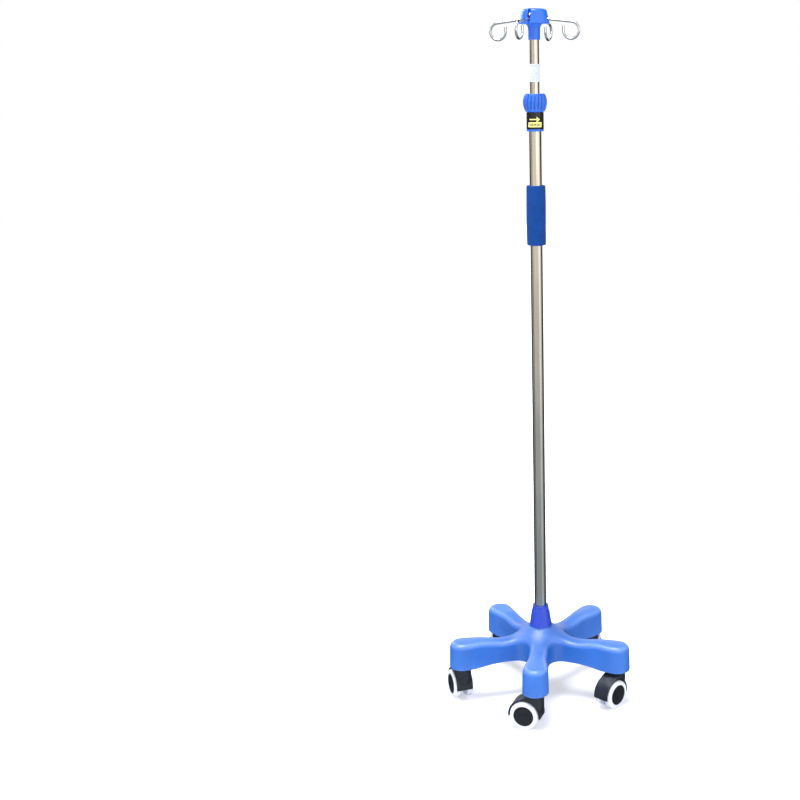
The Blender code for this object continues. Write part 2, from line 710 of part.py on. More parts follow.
def knob_profile():
    """The knob's section: a barrel outside, a spigot bore and a squeezing cone inside."""
    barrel = []
    for i in range(6):
        share = i / 5
        foot_share = KNOB_SHOULDER_RADIUS + (KNOB_FOOT_RADIUS - KNOB_SHOULDER_RADIUS) * share
        swell = math.sin(math.pi * (0.1 + 0.9 * share)) ** 0.7
        radius = foot_share + (KNOB_RADIUS - foot_share) * swell
        barrel.append((radius, KNOB_TOP - 1 * MM - (KNOB_HEIGHT - 1 * MM) * share))
    bore = SPIGOT_RADIUS + RUNNING
    cone_foot = SPIGOT_TOP + 2 * MM
    throat_foot = KNOB_TOP - 4 * MM
    inside = [(bore, KNOB_FOOT), (bore, cone_foot), (MAST_BORE, throat_foot), (MAST_BORE, KNOB_TOP)]
    return [(KNOB_SHOULDER_RADIUS, KNOB_TOP)] + barrel + inside


def make_lock_knob():
    """The fluted knob. Its flutes fade out at the shoulder and at the foot."""
    mesh = bake(turned("knob_form", knob_profile(), 2 * KNOB_FLUTES))
    inner = SPIGOT_RADIUS + RUNNING + 1 * MM
    for vertex in mesh.vertices:
        radius = math.hypot(vertex.co.x, vertex.co.y)
        share = (vertex.co.z - KNOB_FOOT) / KNOB_HEIGHT
        if radius < inner or share > 0.99:
            continue
        angle = math.atan2(vertex.co.y, vertex.co.x)
        fade = smoothstep(share / 0.25) * smoothstep((1 - share) / 0.1)
        depth = FLUTE_DEPTH * fade * (1 - math.cos(KNOB_FLUTES * angle)) / 2
        vertex.co.x *= (radius - depth) / radius
        vertex.co.y *= (radius - depth) / radius
    place("lock_knob", mesh, "head_blue")


# --- Head and hooks ------------------------------------------------------------------------

def hook_angle(index):
    return HEAD_TURN + index * 2 * math.pi / HOOK_COUNT


def head_profile():
    """The head's section, from its flat land down the skirt, in to the neck and up its bore."""
    land_drop = 1.2 * MM
    bore = UPPER_TUBE_RADIUS + TOUCH
    return [
        (0, HEAD_TOP),
        (HEAD_LAND_RADIUS, HEAD_TOP),
        (HEAD_TOP_RADIUS - 4 * MM, HEAD_TOP - land_drop),
        (HEAD_TOP_RADIUS - 0.8 * MM, HEAD_TOP - 3.2 * MM),
        (HEAD_TOP_RADIUS + 0.6 * MM, HEAD_TOP - 7 * MM),
        (HEAD_FOOT_RADIUS, HEAD_FOOT + 1.8 * MM),
        (HEAD_FOOT_RADIUS - 0.4 * MM, HEAD_FOOT),
        (NECK_RADIUS + NECK_FLARE, HEAD_FOOT),
        (NECK_RADIUS + 0.3 * NECK_FLARE, HEAD_FOOT - NECK_FLARE),
        (NECK_RADIUS, HEAD_FOOT - 2.5 * NECK_FLARE),
        (NECK_RADIUS, NECK_FOOT),
        (bore, NECK_FOOT),
        (bore, UPPER_TUBE_TOP + TOUCH),
        (0, UPPER_TUBE_TOP + TOUCH),
    ]


def square_up(mesh):
    """Press the skirt's round section towards four flat panels with round corners."""
    for vertex in mesh.vertices:
        radius = math.hypot(vertex.co.x, vertex.co.y)
        if vertex.co.z < HEAD_FOOT - MM or radius < HEAD_LAND_RADIUS + MM:
            continue
        angle = math.atan2(vertex.co.y, vertex.co.x) - math.pi / 4
        power = HEAD_SQUARENESS
        spread = (abs(math.cos(angle)) ** power + abs(math.sin(angle)) ** power) ** (-1 / power)
        vertex.co.x *= spread
        vertex.co.y *= spread


def make_head(mast):
    """The four-panel head with a slot for each folding hook."""
    mesh = bake(turned("head_form", head_profile(), 32, closed=False))
    square_up(mesh)
    mesh.transform(Matrix.Rotation(HEAD_TURN, 4, 'Z'))
    head = tool("head_solid", mesh)
    half = HOOK_WIRE_RADIUS + SLOT_CLEARANCE
    inner = HOOK_PIVOT_RADIUS - HOOK_EYE_RADIUS - HOOK_WIRE_RADIUS - SLOT_CLEARANCE
    slot = bake(box("slot", (inner, -half, HEAD_FOOT + SLOT_FLOOR), (0.05, half, HEAD_TOP + 5 * MM)))
    pin_half = half + HOOK_PIN_SEAT
    hole = bake(rod("pin_hole", HOOK_PIN_RADIUS + TOUCH, -pin_half - TOUCH, pin_half + TOUCH, 10))
    pin_mesh = bake(rod("pin", HOOK_PIN_RADIUS, -pin_half, pin_half, 10))
    across = Matrix.Rotation(math.pi / 2, 4, 'X')
    at_pivot = Matrix.Translation((HOOK_PIVOT_RADIUS, 0, HOOK_PIVOT_HEIGHT))
    for index in range(HOOK_COUNT):
        turn = Matrix.Rotation(hook_angle(index), 4, 'Z')
        one_slot = tool(f"slot_{index}", slot)
        one_slot.matrix_world = turn
        one_hole = tool(f"pin_hole_{index}", hole)
        one_hole.matrix_world = turn @ at_pivot @ across
        cut(head, one_slot, one_hole)
        pin = place(f"hook_pin_{index + 1}", pin_mesh, "zinc_steel", mast)
        pin.matrix_world = turn @ at_pivot @ across
    place("head_body", bake(head), "head_blue", mast)


def hook_path():
    """The bent wire in its own plane, as (outward, up) from the pin: eye, arm, loop, tail."""
    down = (-math.sin(HOOK_DROOP), -math.cos(HOOK_DROOP))
    along = (math.cos(HOOK_DROOP), -math.sin(HOOK_DROOP))
    droop = math.degrees(HOOK_DROOP)
    eye = arc((0, 0), HOOK_EYE_RADIUS, -90 - droop - 235, -90 - droop, 8)
    bend = (down[0] * HOOK_EYE_RADIUS + along[0] * HOOK_ARM,
            down[1] * HOOK_EYE_RADIUS + along[1] * HOOK_ARM)
    centre = (bend[0] + down[0] * HOOK_LOOP_RADIUS, bend[1] + down[1] * HOOK_LOOP_RADIUS)
    loop = arc(centre, HOOK_LOOP_RADIUS, 90 - droop, -180, 14)
    tail = (centre[0] - HOOK_LOOP_RADIUS, centre[1] + HOOK_TAIL)
    return eye + loop + [tail]


def make_hooks(mast):
    points = [(x, 0, z) for x, z in hook_path()]
    mesh = bake(wire("hook_wire", points, HOOK_WIRE_RADIUS))
    for index in range(HOOK_COUNT):
        turn = Matrix.Rotation(hook_angle(index), 4, 'Z')
        centre = turn @ Vector((HOOK_PIVOT_RADIUS, 0, HOOK_PIVOT_HEIGHT))
        hinge = pivot(f"hook_hinge_{index + 1}", centre, (0, 0, hook_angle(index)), mast)
        place(f"hook_{index + 1}", mesh, "hook_steel", hinge)


# --- Casters -------------------------------------------------------------------------------

def hood_outline():
    """The hood's side view: fender arc, sloping shoulder, and the web down to the axle."""
    axle = (-CASTER_TRAIL, AXLE_HEIGHT)
    front = arc(axle, FENDER_OUTER, -8, 48, 4)
    rear = arc(axle, FENDER_OUTER, 124, 188, 5)
    eye = arc(axle, 2.6 * AXLE_RADIUS, 215, 325, 4)
    shoulder = HOOD_TOP - 2 * MM
    return front + [(0, shoulder), (-0.8 * HOOD_HALF_WIDTH, shoulder)] + rear + eye


def make_hood_mesh():
    """The caster's hood: fenders over both wheels, a web between them and a stem boss."""
    hood = plate("hood_plate", hood_outline(), HOOD_HALF_WIDTH)
    boss_foot = AXLE_HEIGHT + AXLE_RADIUS + 1 * MM
    taper_top = HOOD_TOP - BOSS_DEPTH
    profile = [
        (0, HOOD_TOP),
        (HOOD_HALF_WIDTH - 0.8 * MM, HOOD_TOP),
        (HOOD_HALF_WIDTH, HOOD_TOP - 0.8 * MM),
        (HOOD_HALF_WIDTH, taper_top),
        (HOOD_HALF_WIDTH - 4 * MM, boss_foot),
        (0, boss_foot),
    ]
    join(hood, turned("stem_boss", profile, 18, closed=False))
    cut(hood, rod("cup", HOOD_HALF_WIDTH - CUP_LIP, CUP_FLOOR, HOOD_TOP + MM, 18))
    well = bake(rod("wheel_well", FENDER_INNER, WEB_HALF_WIDTH, 2 * HOOD_HALF_WIDTH, 20))
    axle_bore = rod("axle_bore", AXLE_RADIUS + TOUCH, -HOOD_HALF_WIDTH, HOOD_HALF_WIDTH, 10)
    axle_bore.location = (-CASTER_TRAIL, 0, AXLE_HEIGHT)
    axle_bore.rotation_euler = (math.pi / 2, 0, 0)
    for side in (-1, 1):
        one_well = tool(f"wheel_well_{side}", well)
        one_well.location = (-CASTER_TRAIL, 0, AXLE_HEIGHT)
        one_well.rotation_euler = (side * math.pi / 2, 0, 0)
        cut(hood, one_well)
    stem_bore = rod("stem_hole", STEM_RADIUS + TOUCH, HOOD_TOP - STEM_NOSE - RUNNING, HOOD_TOP + MM, 12)
    cut(hood, stem_bore, axle_bore)
    return bake(hood)


def make_stem_mesh():
    """A pressed-in stem: rounded nose, flange under the leg, chamfered top."""
    top = SOCKET_FACE + STEM_GRIP
    flange_top = SOCKET_FACE - TOUCH
    flange_foot = CUP_FLOOR + RUNNING
    foot = HOOD_TOP - STEM_NOSE
    profile = [
        (0, top),
        (STEM_RADIUS - 1 * MM, top),
        (STEM_RADIUS, top - 1 * MM),
        (STEM_RADIUS, flange_top),
        (STEM_FLANGE_RADIUS, flange_top),
        (STEM_FLANGE_RADIUS, flange_foot),
        (STEM_RADIUS, flange_foot),
        (STEM_RADIUS, foot),
        (0, foot),
    ]
    return bake(turned("stem", profile, 12, closed=False))


def make_wheel_meshes():
    """One wheel's core and tyre, lying on their inner face, with the outer face up."""
    dish = 0.5 * MM
    seat = TYRE_SEAT_RADIUS - TOUCH
    bore = AXLE_RADIUS + RUNNING
    blind = WHEEL_WIDTH - CORE_FACE
    core_profile = [
        (0, WHEEL_WIDTH - 2 * dish),
        (0.85 * seat, WHEEL_WIDTH - 2 * dish),
        (seat, WHEEL_WIDTH - dish),
        (seat, dish),
        (bore, dish),
        (bore, blind),
        (0, blind),
    ]
    tyre_profile = [
        (TYRE_SEAT_RADIUS, WHEEL_WIDTH),
        (WHEEL_RADIUS - TYRE_CHAMFER, WHEEL_WIDTH),
        (WHEEL_RADIUS, WHEEL_WIDTH - TYRE_CHAMFER),
        (WHEEL_RADIUS, 0),
        (TYRE_SEAT_RADIUS, 0),
    ]
    core = bake(turned("core", core_profile, 14, closed=False))
    return core, bake(turned("tyre", tyre_profile, 20))


def make_casters():
    """Five casters. Each hood turns on its stem, and each of its wheels turns on the axle."""
    hood = make_hood_mesh()
    stem = make_stem_mesh()
    core, tyre = make_wheel_meshes()
    axle_half = WHEEL_SPACING / 2 + WHEEL_WIDTH - CORE_FACE - AXLE_END_GAP
    axle = bake(rod("axle", AXLE_RADIUS, -axle_half, axle_half, 10))
    for index, (name, heading) in enumerate(CASTER_HEADINGS.items()):
        position = Matrix.Rotation(leg_angle(index), 3, 'Z') @ Vector((STEM_CIRCLE, 0, 0))
        # The wheels sit on the hood's -x side, so the hood faces away from their heading.
        swivel = pivot(f"caster_{name}_swivel", position, (0, 0, math.radians(heading + 180)))
        place(f"caster_{name}_stem", stem, "zinc_steel", None, position)
        place(f"caster_{name}_hood", hood, "hood_black", swivel)
        axle_place = (-CASTER_TRAIL, 0, AXLE_HEIGHT)
        place(f"caster_{name}_axle", axle, "zinc_steel", swivel, axle_place, (math.pi / 2, 0, 0))
        for side, tilt in (("a", -1), ("b", 1)):
            hub_place = (-CASTER_TRAIL, -tilt * WHEEL_SPACING / 2, AXLE_HEIGHT)
            wheel = pivot(f"caster_{name}_wheel_{side}", hub_place, (tilt * math.pi / 2, 0, 0), swivel)
            place(f"caster_{name}_core_{side}", core, "wheel_black", wheel)
            place(f"caster_{name}_tyre_{side}", tyre, "tyre_grey", wheel)


# --- Assembly ------------------------------------------------------------------------------

clear_scene()
stand = new_collection("drip_stand")
cutters = new_collection("cutters")
materials = {name: new_material(name, *values) for name, values in FINISHES.items()}

make_base_shell()
make_hub_cone()
make_tube_fixing()
mast_slider = pivot("mast_slide", (0, 0, 0))
mast_turner = pivot("mast_turn", (0, 0, 0), parent=mast_slider)
make_tubes(mast_turner)
make_mast_bush(mast_slider)
make_foam_grip()
make_lock_collar()
make_collet()
make_lock_knob()
make_head(mast_turner)
make_hooks(mast_turner)
make_casters()
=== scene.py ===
"""Looks of a mobile drip stand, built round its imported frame.

All lengths are in metres and in the frame's own axes: the pole is the Z axis, the floor is z = 0 and
the front leg points to -Y. New surfaces are numpy grids; each function says its formula in words.
"""
import json
import math

import bmesh
import bpy
import numpy as np
from bpy.props import FloatProperty, FloatVectorProperty, IntProperty, PointerProperty
from mathutils import Matrix, Vector


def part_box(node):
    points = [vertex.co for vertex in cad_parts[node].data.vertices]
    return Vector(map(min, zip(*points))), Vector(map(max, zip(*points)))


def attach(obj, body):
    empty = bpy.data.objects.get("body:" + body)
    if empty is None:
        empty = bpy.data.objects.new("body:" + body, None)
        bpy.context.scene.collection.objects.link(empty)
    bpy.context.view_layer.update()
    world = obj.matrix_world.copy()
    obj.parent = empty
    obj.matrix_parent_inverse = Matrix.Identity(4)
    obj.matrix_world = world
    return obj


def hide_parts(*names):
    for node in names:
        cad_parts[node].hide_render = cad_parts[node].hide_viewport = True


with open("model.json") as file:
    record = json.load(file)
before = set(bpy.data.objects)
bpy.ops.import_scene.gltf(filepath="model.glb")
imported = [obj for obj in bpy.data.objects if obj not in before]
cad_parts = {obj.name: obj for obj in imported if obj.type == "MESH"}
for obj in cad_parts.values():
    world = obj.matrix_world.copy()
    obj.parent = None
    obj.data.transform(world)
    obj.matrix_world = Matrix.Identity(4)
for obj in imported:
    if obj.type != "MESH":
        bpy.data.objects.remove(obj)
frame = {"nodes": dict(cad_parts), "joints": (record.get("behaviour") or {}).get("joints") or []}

bl_info = {
    "name": "Drip Stand Looks",
    "version": (1, 0, 0),
    "blender": (4, 5, 0),
    "location": "3D View > Sidebar > Drip Stand",
    "description": "Fine surfaces, materials and stage for a mobile drip stand, built round its frame",
    "category": "Object",
}

MM = 0.001
GAP = 0.3 * MM              # left between pieces that touch
SOCKET_RECESS = 2 * MM      # how far the ribs and the stems' sockets stop short of the skirt's edge
TOUCH = 2 * MM              # how far one shape runs into the next one that it joins
LABEL_FACING = math.radians(-88)        # the labels face the front and a little to the right
LABEL_THICKNESS = 0.25 * MM
PAPER_SPAN = math.radians(330)          # how far round the pole each label reaches
STICKER_SPAN = math.radians(345)
JOINTS = {joint["name"]: joint for joint in frame["joints"]}
CASTERS = [name[len("caster_"):-len("_swivel")] for name in JOINTS if name.endswith("_swivel")]
HOOKS = [name[:-len("_fold")] for name in JOINTS if name.endswith("_fold")]


def low(node):
    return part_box(node)[0]


def high(node):
    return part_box(node)[1]


def bore_over(node):
    """Radius of a bore that a round node on the pole's axis fits in."""
    return high(node).x + GAP


def sticker_seat():
    """Radius of the collar under its sticker."""
    return high("lock_label").x - 0.6 * MM


def joint_place(name):
    return Vector(JOINTS[name]["pos_m"])


def length(name, description, default):
    return FloatProperty(name=name, description=description, default=default, unit='LENGTH', precision=5)


def share(name, description, default):
    return FloatProperty(name=name, description=description, default=default, min=0, max=1, subtype='FACTOR')


def colour(name, description, default):
    """A colour setting. Its default is given as three display values from 0 to 255."""
    values = [c / 255 for c in default]
    linear = [v / 12.92 if v <= 0.04045 else ((v + 0.055) / 1.055) ** 2.4 for v in values]
    return FloatVectorProperty(name=name, description=description, default=linear, size=3,
                               subtype='COLOR', min=0, max=1)


# --- Settings ------------------------------------------------------------------------------

class BaseSettings(bpy.types.PropertyGroup):
    stem_circle: length("Stem circle", "Radius of the circle that the caster stems stand on",
                        joint_place("caster_front_swivel").xy.length)
    tip_half_width: length("Tip half width", "Half the width of a leg's round tip",
                           -low("base_shell").y - joint_place("caster_front_swivel").xy.length)
    waist_half_width: length("Waist half width", "Half the width of a leg where it is narrowest", 20.5 * MM)
    waist_radius: length("Waist radius", "How far from the pole a leg is narrowest", 112 * MM)
    crotch_fillet: length("Crotch fillet", "Radius of the hollow between two legs", 26 * MM)
    tip_height: length("Tip height", "Height of the moulding at a leg's tip", 56 * MM)
    saddle_dip: length("Saddle dip", "How far the leg sinks between tip and hub", 5.5 * MM)
    saddle_radius: length("Saddle radius", "How far from the pole the leg is lowest", 85 * MM)
    seat_radius: length("Seat radius", "Radius of the flat seat round the pole", 26 * MM)
    arch: length("Arch", "How much higher the skirt ends near the hub", 6.5 * MM)
    wall: length("Wall", "Thickness of the moulding", 3.5 * MM)
    edge_fillet: length("Edge fillet", "Radius of the rounded shoulder along the top", 12 * MM)
    draft: length("Draft", "How far the side leans in from skirt to shoulder", 1 * MM)
    crown: length("Crown", "How far the top is domed along a leg's middle", 0.9 * MM)
    lip: length("Lip", "Radius of the skirt's rolled lower edge", 1.2 * MM)
    plastic: colour("Plastic", "Colour of the moulding", (42, 106, 200))
    dust: colour("Dust", "Colour of the dust on the hub", (122, 138, 178))
    dusty: share("Dustiness", "How much dust the hub carries", 0.4)


class PoleSettings(bpy.types.PropertyGroup):
    lower_wall: length("Lower wall", "Thickness of the lower tube", 1.2 * MM)
    upper_wall: length("Upper wall", "Thickness of the upper tube", 1 * MM)
    steel: colour("Steel", "Colour of the tubes", (214, 208, 198))
    foam: colour("Foam", "Colour of the grip", (2, 56, 124))
    grip_sag: length("Grip unevenness", "How uneven the foam's surface is", 0.35 * MM)
    cone_plastic: colour("Cone plastic", "Colour of the cone", (26, 62, 186))
    paper: colour("Paper", "Colour of the paper label", (200, 210, 232))
    ink: colour("Ink", "Colour of the marks on the paper label", (82, 98, 140))


class LockSettings(bpy.types.PropertyGroup):
    flutes: IntProperty(name="Flutes", description="Grip flutes round the knob", default=18, min=3, max=60)
    flute_depth: length("Flute depth", "Depth of a flute", 1.9 * MM)
    flute_lean: FloatProperty(name="Flute lean", description="How far a flute leans from foot to top",
                              default=math.radians(5), subtype='ANGLE')
    plastic: colour("Plastic", "Colour of the knob, the collar and the head", (34, 96, 202))
    film: colour("Film", "Colour of the sticker", (12, 12, 14))
    print_colour: colour("Print", "Colour of the sticker's arrow and band", (232, 230, 138))


class HeadSettings(bpy.types.PropertyGroup):
    squareness: FloatProperty(name="Squareness", description="2 is a round skirt, more is squarer",
                              default=2.6, min=2, max=8)
    slot_half_width: length("Slot half width", "Half the width of a hook's slot", 3.1 * MM)
    slot_floor: length("Slot floor", "Height of a slot's floor above the skirt's foot", 5.2 * MM)
    core_radius: length("Core radius", "Radius of the solid middle between the slots", 10.5 * MM)
    neck_height: length("Neck height", "Height of the neck under the skirt", 30 * MM)
    neck_wall: length("Neck wall", "Thickness of the neck", 1.9 * MM)
    wire_radius: length("Wire radius", "Radius of a hook's wire", 2.5 * MM)
    pin_radius: length("Pin radius", "Radius of a hook's pin", 1.5 * MM)
    droop: FloatProperty(name="Droop", description="How far a hook's arm falls outwards",
                         default=math.radians(6.5), subtype='ANGLE')
    arm: length("Arm", "Length of a hook's straight arm", 61 * MM)
    loop_radius: length("Loop radius", "Radius of a hook's loop", 16 * MM)
    tail: length("Tail", "Straight end of a hook's loop", 8 * MM)
    wire_steel: colour("Wire steel", "Colour of the hooks", (222, 228, 230))


class CasterSettings(bpy.types.PropertyGroup):
    trail: length("Trail", "Distance from the stem to the axle", 20 * MM)
    wheel_radius: length("Wheel radius", "Radius of a wheel", high("caster_front_tyre_a").z / 2)
    wheel_width: length("Wheel width", "Width of a wheel", 13 * MM)
    tyre_seat: length("Tyre seat", "Radius of the disc inside the tyre", 19.8 * MM)
    chamfer: length("Chamfer", "Sloped ring round the tyre's face", 3.2 * MM)
    fender_gap: length("Fender gap", "Gap between a wheel and the hood", 1.5 * MM)
    fender_wall: length("Fender wall", "Thickness of the hood over a wheel", 2.5 * MM)
    hood_half_width: length("Hood half width", "Half the width of the hood", 17.5 * MM)
    web_half_width: length("Web half width", "Half the thickness of the web between the wheels", 7.5 * MM)
    stem_radius: length("Stem radius", "Radius of the stem", 5.5 * MM)
    hood_plastic: colour("Hood plastic", "Colour of the hoods", (24, 30, 42))
    core_plastic: colour("Core plastic", "Colour of the wheels' discs", (16, 19, 27))
    tread: colour("Tread", "Colour of the tyres", (222, 228, 248))


class StageSettings(bpy.types.PropertyGroup):
    lens: FloatProperty(name="Lens", description="Focal length of the camera in millimetres", default=60.15)
    distance: length("Distance", "Level distance from the pole to the camera", 2.667)
    height: length("Height", "Height of the camera", 1.299)
    side: FloatProperty(name="Side", description="How far the camera stands to the right",
                        default=math.radians(4.06), subtype='ANGLE')
    pitch: FloatProperty(name="Pitch", description="How far the camera looks down",
                         default=math.radians(12.22), subtype='ANGLE')
    roll: FloatProperty(name="Roll", description="How far the camera is turned about its own line of sight",
                        default=math.radians(0.64), subtype='ANGLE')
    shift: FloatVectorProperty(name="Shift", description="Sideways and upward shift of the lens", size=2,
                               default=(-0.1723, -0.0474))
    floor: colour("Floor", "Colour of the floor", (244, 245, 247))


# --- Surfaces ------------------------------------------------------------------------------

def smoothstep(value):
    """3 v squared - 2 v cubed, for v held between 0 and 1."""
    value = np.clip(value, 0, 1)
    return value * value * (3 - 2 * value)


def grid(points, wrap=True):
    """Vertices and quads over a (rows, columns, 3) array. Wrap joins the last column to the first.

    A face looks the way of (along a column) x (along a row).
    """
    rows, columns = points.shape[:2]
    index = np.arange(rows * columns).reshape(rows, columns)
    right = np.roll(index, -1, axis=1)
    quads = np.stack([index[:-1], index[1:], right[1:], right[:-1]], axis=-1)
    if not wrap:
        quads = quads[:, :-1]
    return points.reshape(-1, 3), quads.reshape(-1, 4)


def capped(points):
    """The rows with their own middles added as first and last row, which closes both ends."""
    first = np.broadcast_to(points[0].mean(axis=0), points[0].shape)
    last = np.broadcast_to(points[-1].mean(axis=0), points[-1].shape)
    return np.concatenate([first[None], points, last[None]])


def rounded(corners, steps=6, closed=False):
    """Corners given as (x, y, reach). A parabola that touches both sides `reach` away replaces each."""
    corners = np.asarray(corners, float)
    points = corners[:, :2]
    before = np.roll(points, 1, axis=0)
    after = np.roll(points, -1, axis=0)
    if not closed:
        before[0] = points[0]
        after[-1] = points[-1]

    def towards(other):
        side = other - points
        span = np.linalg.norm(side, axis=1, keepdims=True)
        return points + side * np.minimum(corners[:, 2:], 0.49 * span) / np.maximum(span, 1e-12)

    t = np.linspace(0, 1, steps + 1)[None, :, None]
    start, end = towards(before)[:, None], towards(after)[:, None]
    curve = (1 - t) ** 2 * start + 2 * t * (1 - t) * points[:, None] + t ** 2 * end
    return curve.reshape(-1, 2)


def turned_points(profile, columns, closed):
    """The point at angle a is (r cos a, r sin a, h) for each (r, h) of the profile."""
    profile = np.asarray(profile, float)
    if closed:
        profile = np.vstack([profile, profile[:1]])
    angle = np.linspace(0, 2 * np.pi, columns, endpoint=False)
    radius, height = profile[:, :1], profile[:, 1:]
    parts = np.broadcast_arrays(radius * np.cos(angle), radius * np.sin(angle), height)
    return np.stack(parts, axis=-1)


def turned(profile, columns=96, closed=True):
    """A profile that runs down its outer side, turned about Z."""
    return grid(turned_points(profile, columns, closed))


def swept(path, radius, side, columns=24, end_rows=6):
    """A round wire along a flat path, with half-ball ends. `side` is the normal of the path's plane.

    Each row is a circle across the path's own direction. At the ends, rows shrink as a cosine while
    they move outwards as a sine.
    """
    path = np.asarray(path, float)
    along = np.gradient(path, axis=0)
    along /= np.linalg.norm(along, axis=1, keepdims=True)
    turn = np.linspace(np.pi / 2, 0, end_rows, endpoint=False)
    head = path[:1] - along[:1] * radius * np.sin(turn)[:, None]
    tail = path[-1:] + along[-1:] * radius * np.sin(turn[::-1])[:, None]
    centre = np.concatenate([head, path, tail])
    along = np.concatenate([np.repeat(along[:1], end_rows, 0), along, np.repeat(along[-1:], end_rows, 0)])
    size = radius * np.concatenate([np.cos(turn), np.ones(len(path)), np.cos(turn[::-1])])
    side = np.asarray(side, float)
    angle = np.linspace(0, 2 * np.pi, columns, endpoint=False)[None, :, None]
    across = np.cross(along, side)[:, None]
    ring = np.cos(angle) * side - np.sin(angle) * across
    return grid(centre[:, None] + size[:, None, None] * ring)


def plate(outline, middle, half):
    """A flat closed outline of (x, z), thick from y = -half to half, with fans from its middle."""
    outline = np.asarray(outline, float)
    edge = [np.stack([outline[:, 0], np.full(len(outline), y), outline[:, 1]], -1) for y in (-half, half)]
    fan = [np.broadcast_to((middle[0], y, middle[1]), edge[0].shape) for y in (-half, half)]
    return grid(np.stack([fan[0], *edge, fan[1]]))


def placed(surface, matrix):
    """The surface carried to its place by a 4 x 4 matrix."""
    points, faces = surface
    matrix = np.array(matrix)
    return points @ matrix[:3, :3].T + matrix[:3, 3], faces


def arc(centre, radius, start, end, count):
    """Points on a circle round (x, z), from one angle in degrees to another."""
    angle = np.radians(np.linspace(start, end, count))
    return np.stack([centre[0] + radius * np.cos(angle), centre[1] + radius * np.sin(angle)], -1)


def new_mesh(name, surfaces, attributes=None):
    """One mesh from several surfaces, welded where their points meet."""
    starts = np.cumsum([0] + [len(points) for points, _ in surfaces])
    points = np.concatenate([points for points, _ in surfaces])
    faces = np.concatenate([faces + start for (_, faces), start in zip(surfaces, starts)])
    mesh = bpy.data.meshes.new(name)
    mesh.from_pydata(points, [], faces.tolist())
    for label, values in (attributes or {}).items():
        full = np.zeros(len(points), np.float32)
        full[:len(values)] = values
        mesh.attributes.new(label, 'FLOAT', 'POINT').data.foreach_set("value", full)
    work = bmesh.new()
    work.from_mesh(mesh)
    bmesh.ops.remove_doubles(work, verts=work.verts, dist=0.002 * MM)
    work.to_mesh(mesh)
    work.free()
    return mesh


def finish_piece(name, mesh, material, body, nodes, sharp=40):
    """The shown object of one piece, riding on its body and standing for its CAD nodes."""
    mesh.materials.clear()
    mesh.materials.append(material)
    mesh.shade_smooth()
    mesh.set_sharp_from_angle(angle=math.radians(sharp))
    obj = bpy.data.objects.new(name, mesh)
    bpy.context.scene.collection.objects.link(obj)
    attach(obj, body)
    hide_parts(*nodes)
    return obj


def helper(name, surface):
    """An object that only lends its shape to a modifier and is removed after it."""
    obj = bpy.data.objects.new(name, new_mesh(name, [surface]))
    bpy.context.scene.collection.objects.link(obj)
    return obj


def carved(name, solid, added, removed, voxel, smoothing):
    """A moulded solid: surfaces united and cut, then rebuilt in small voxels and smoothed.

    The voxels and the smoothing give every edge the small radius of a moulding.
    """
    obj = helper(name, solid)
    tools = []
    for operation, surfaces in (('UNION', added), ('DIFFERENCE', removed)):
        for surface in surfaces:
            tools.append(helper(f"{name}_tool", surface))
            boolean = obj.modifiers.new(operation, 'BOOLEAN')
            boolean.operation = operation
            boolean.object = tools[-1]
    remesh = obj.modifiers.new("Voxels", 'REMESH')
    remesh.mode = 'VOXEL'
    remesh.voxel_size = voxel
    smooth = obj.modifiers.new("Soft edges", 'SMOOTH')
    smooth.factor = 0.5
    smooth.iterations = smoothing
    bpy.context.view_layer.update()
    graph = bpy.context.evaluated_depsgraph_get()
    mesh = bpy.data.meshes.new_from_object(obj.evaluated_get(graph))
    if not mesh.polygons:
        raise RuntimeError(f"{name} came out empty")
    for used in (obj, *tools):
        bpy.data.objects.remove(used)
    return mesh


def moved_copy(mesh, name, matrix):
    copy = mesh.copy()
    copy.name = name
    copy.transform(matrix)
    return copy


# --- Shader graph --------------------------------------------------------------------------

class Value:
    """A shader output that takes part in Python arithmetic. Each operation adds one Math node."""

    def __init__(self, graph, socket):
        self.graph = graph
        self.socket = socket

    def math(self, operation, *others, clamp=False):
        inputs = dict(enumerate((self, *others)))
        return self.graph.node("ShaderNodeMath", {"operation": operation, "use_clamp": clamp}, inputs)

    def __add__(self, other):
        return self.math('ADD', other)

    __radd__ = __add__

    def __mul__(self, other):
        return self.math('MULTIPLY', other)

    __rmul__ = __mul__

    def __sub__(self, other):
        return self.math('SUBTRACT', other)

    def __rsub__(self, other):
        return self.graph.node("ShaderNodeMath", {"operation": 'SUBTRACT'}, {0: other, 1: self})

    def __truediv__(self, other):
        return self.math('DIVIDE', other)

    def __neg__(self):
        return self.math('MULTIPLY', -1.0)

    def __abs__(self):
        return self.math('ABSOLUTE')

    def __gt__(self, other):
        return self.math('GREATER_THAN', other)

    def __lt__(self, other):
        return self.math('LESS_THAN', other)

    def clamp(self):
        return self.math('ADD', 0.0, clamp=True)

    def ramp(self, start, end):
        """0 below start, 1 above end, and smooth between."""
        settings = {"interpolation_type": 'SMOOTHSTEP'}
        return self.graph.node("ShaderNodeMapRange", settings, {0: self, 1: start, 2: end})

    def band(self, middle, half, soft):
        """1 within half of the middle, falling to 0 over soft."""
        return 1 - abs(self - middle).ramp(half, half + soft)

    def between(self, start, end):
        """1 between start and end, with hard edges."""
        return (self > start) * (self < end)


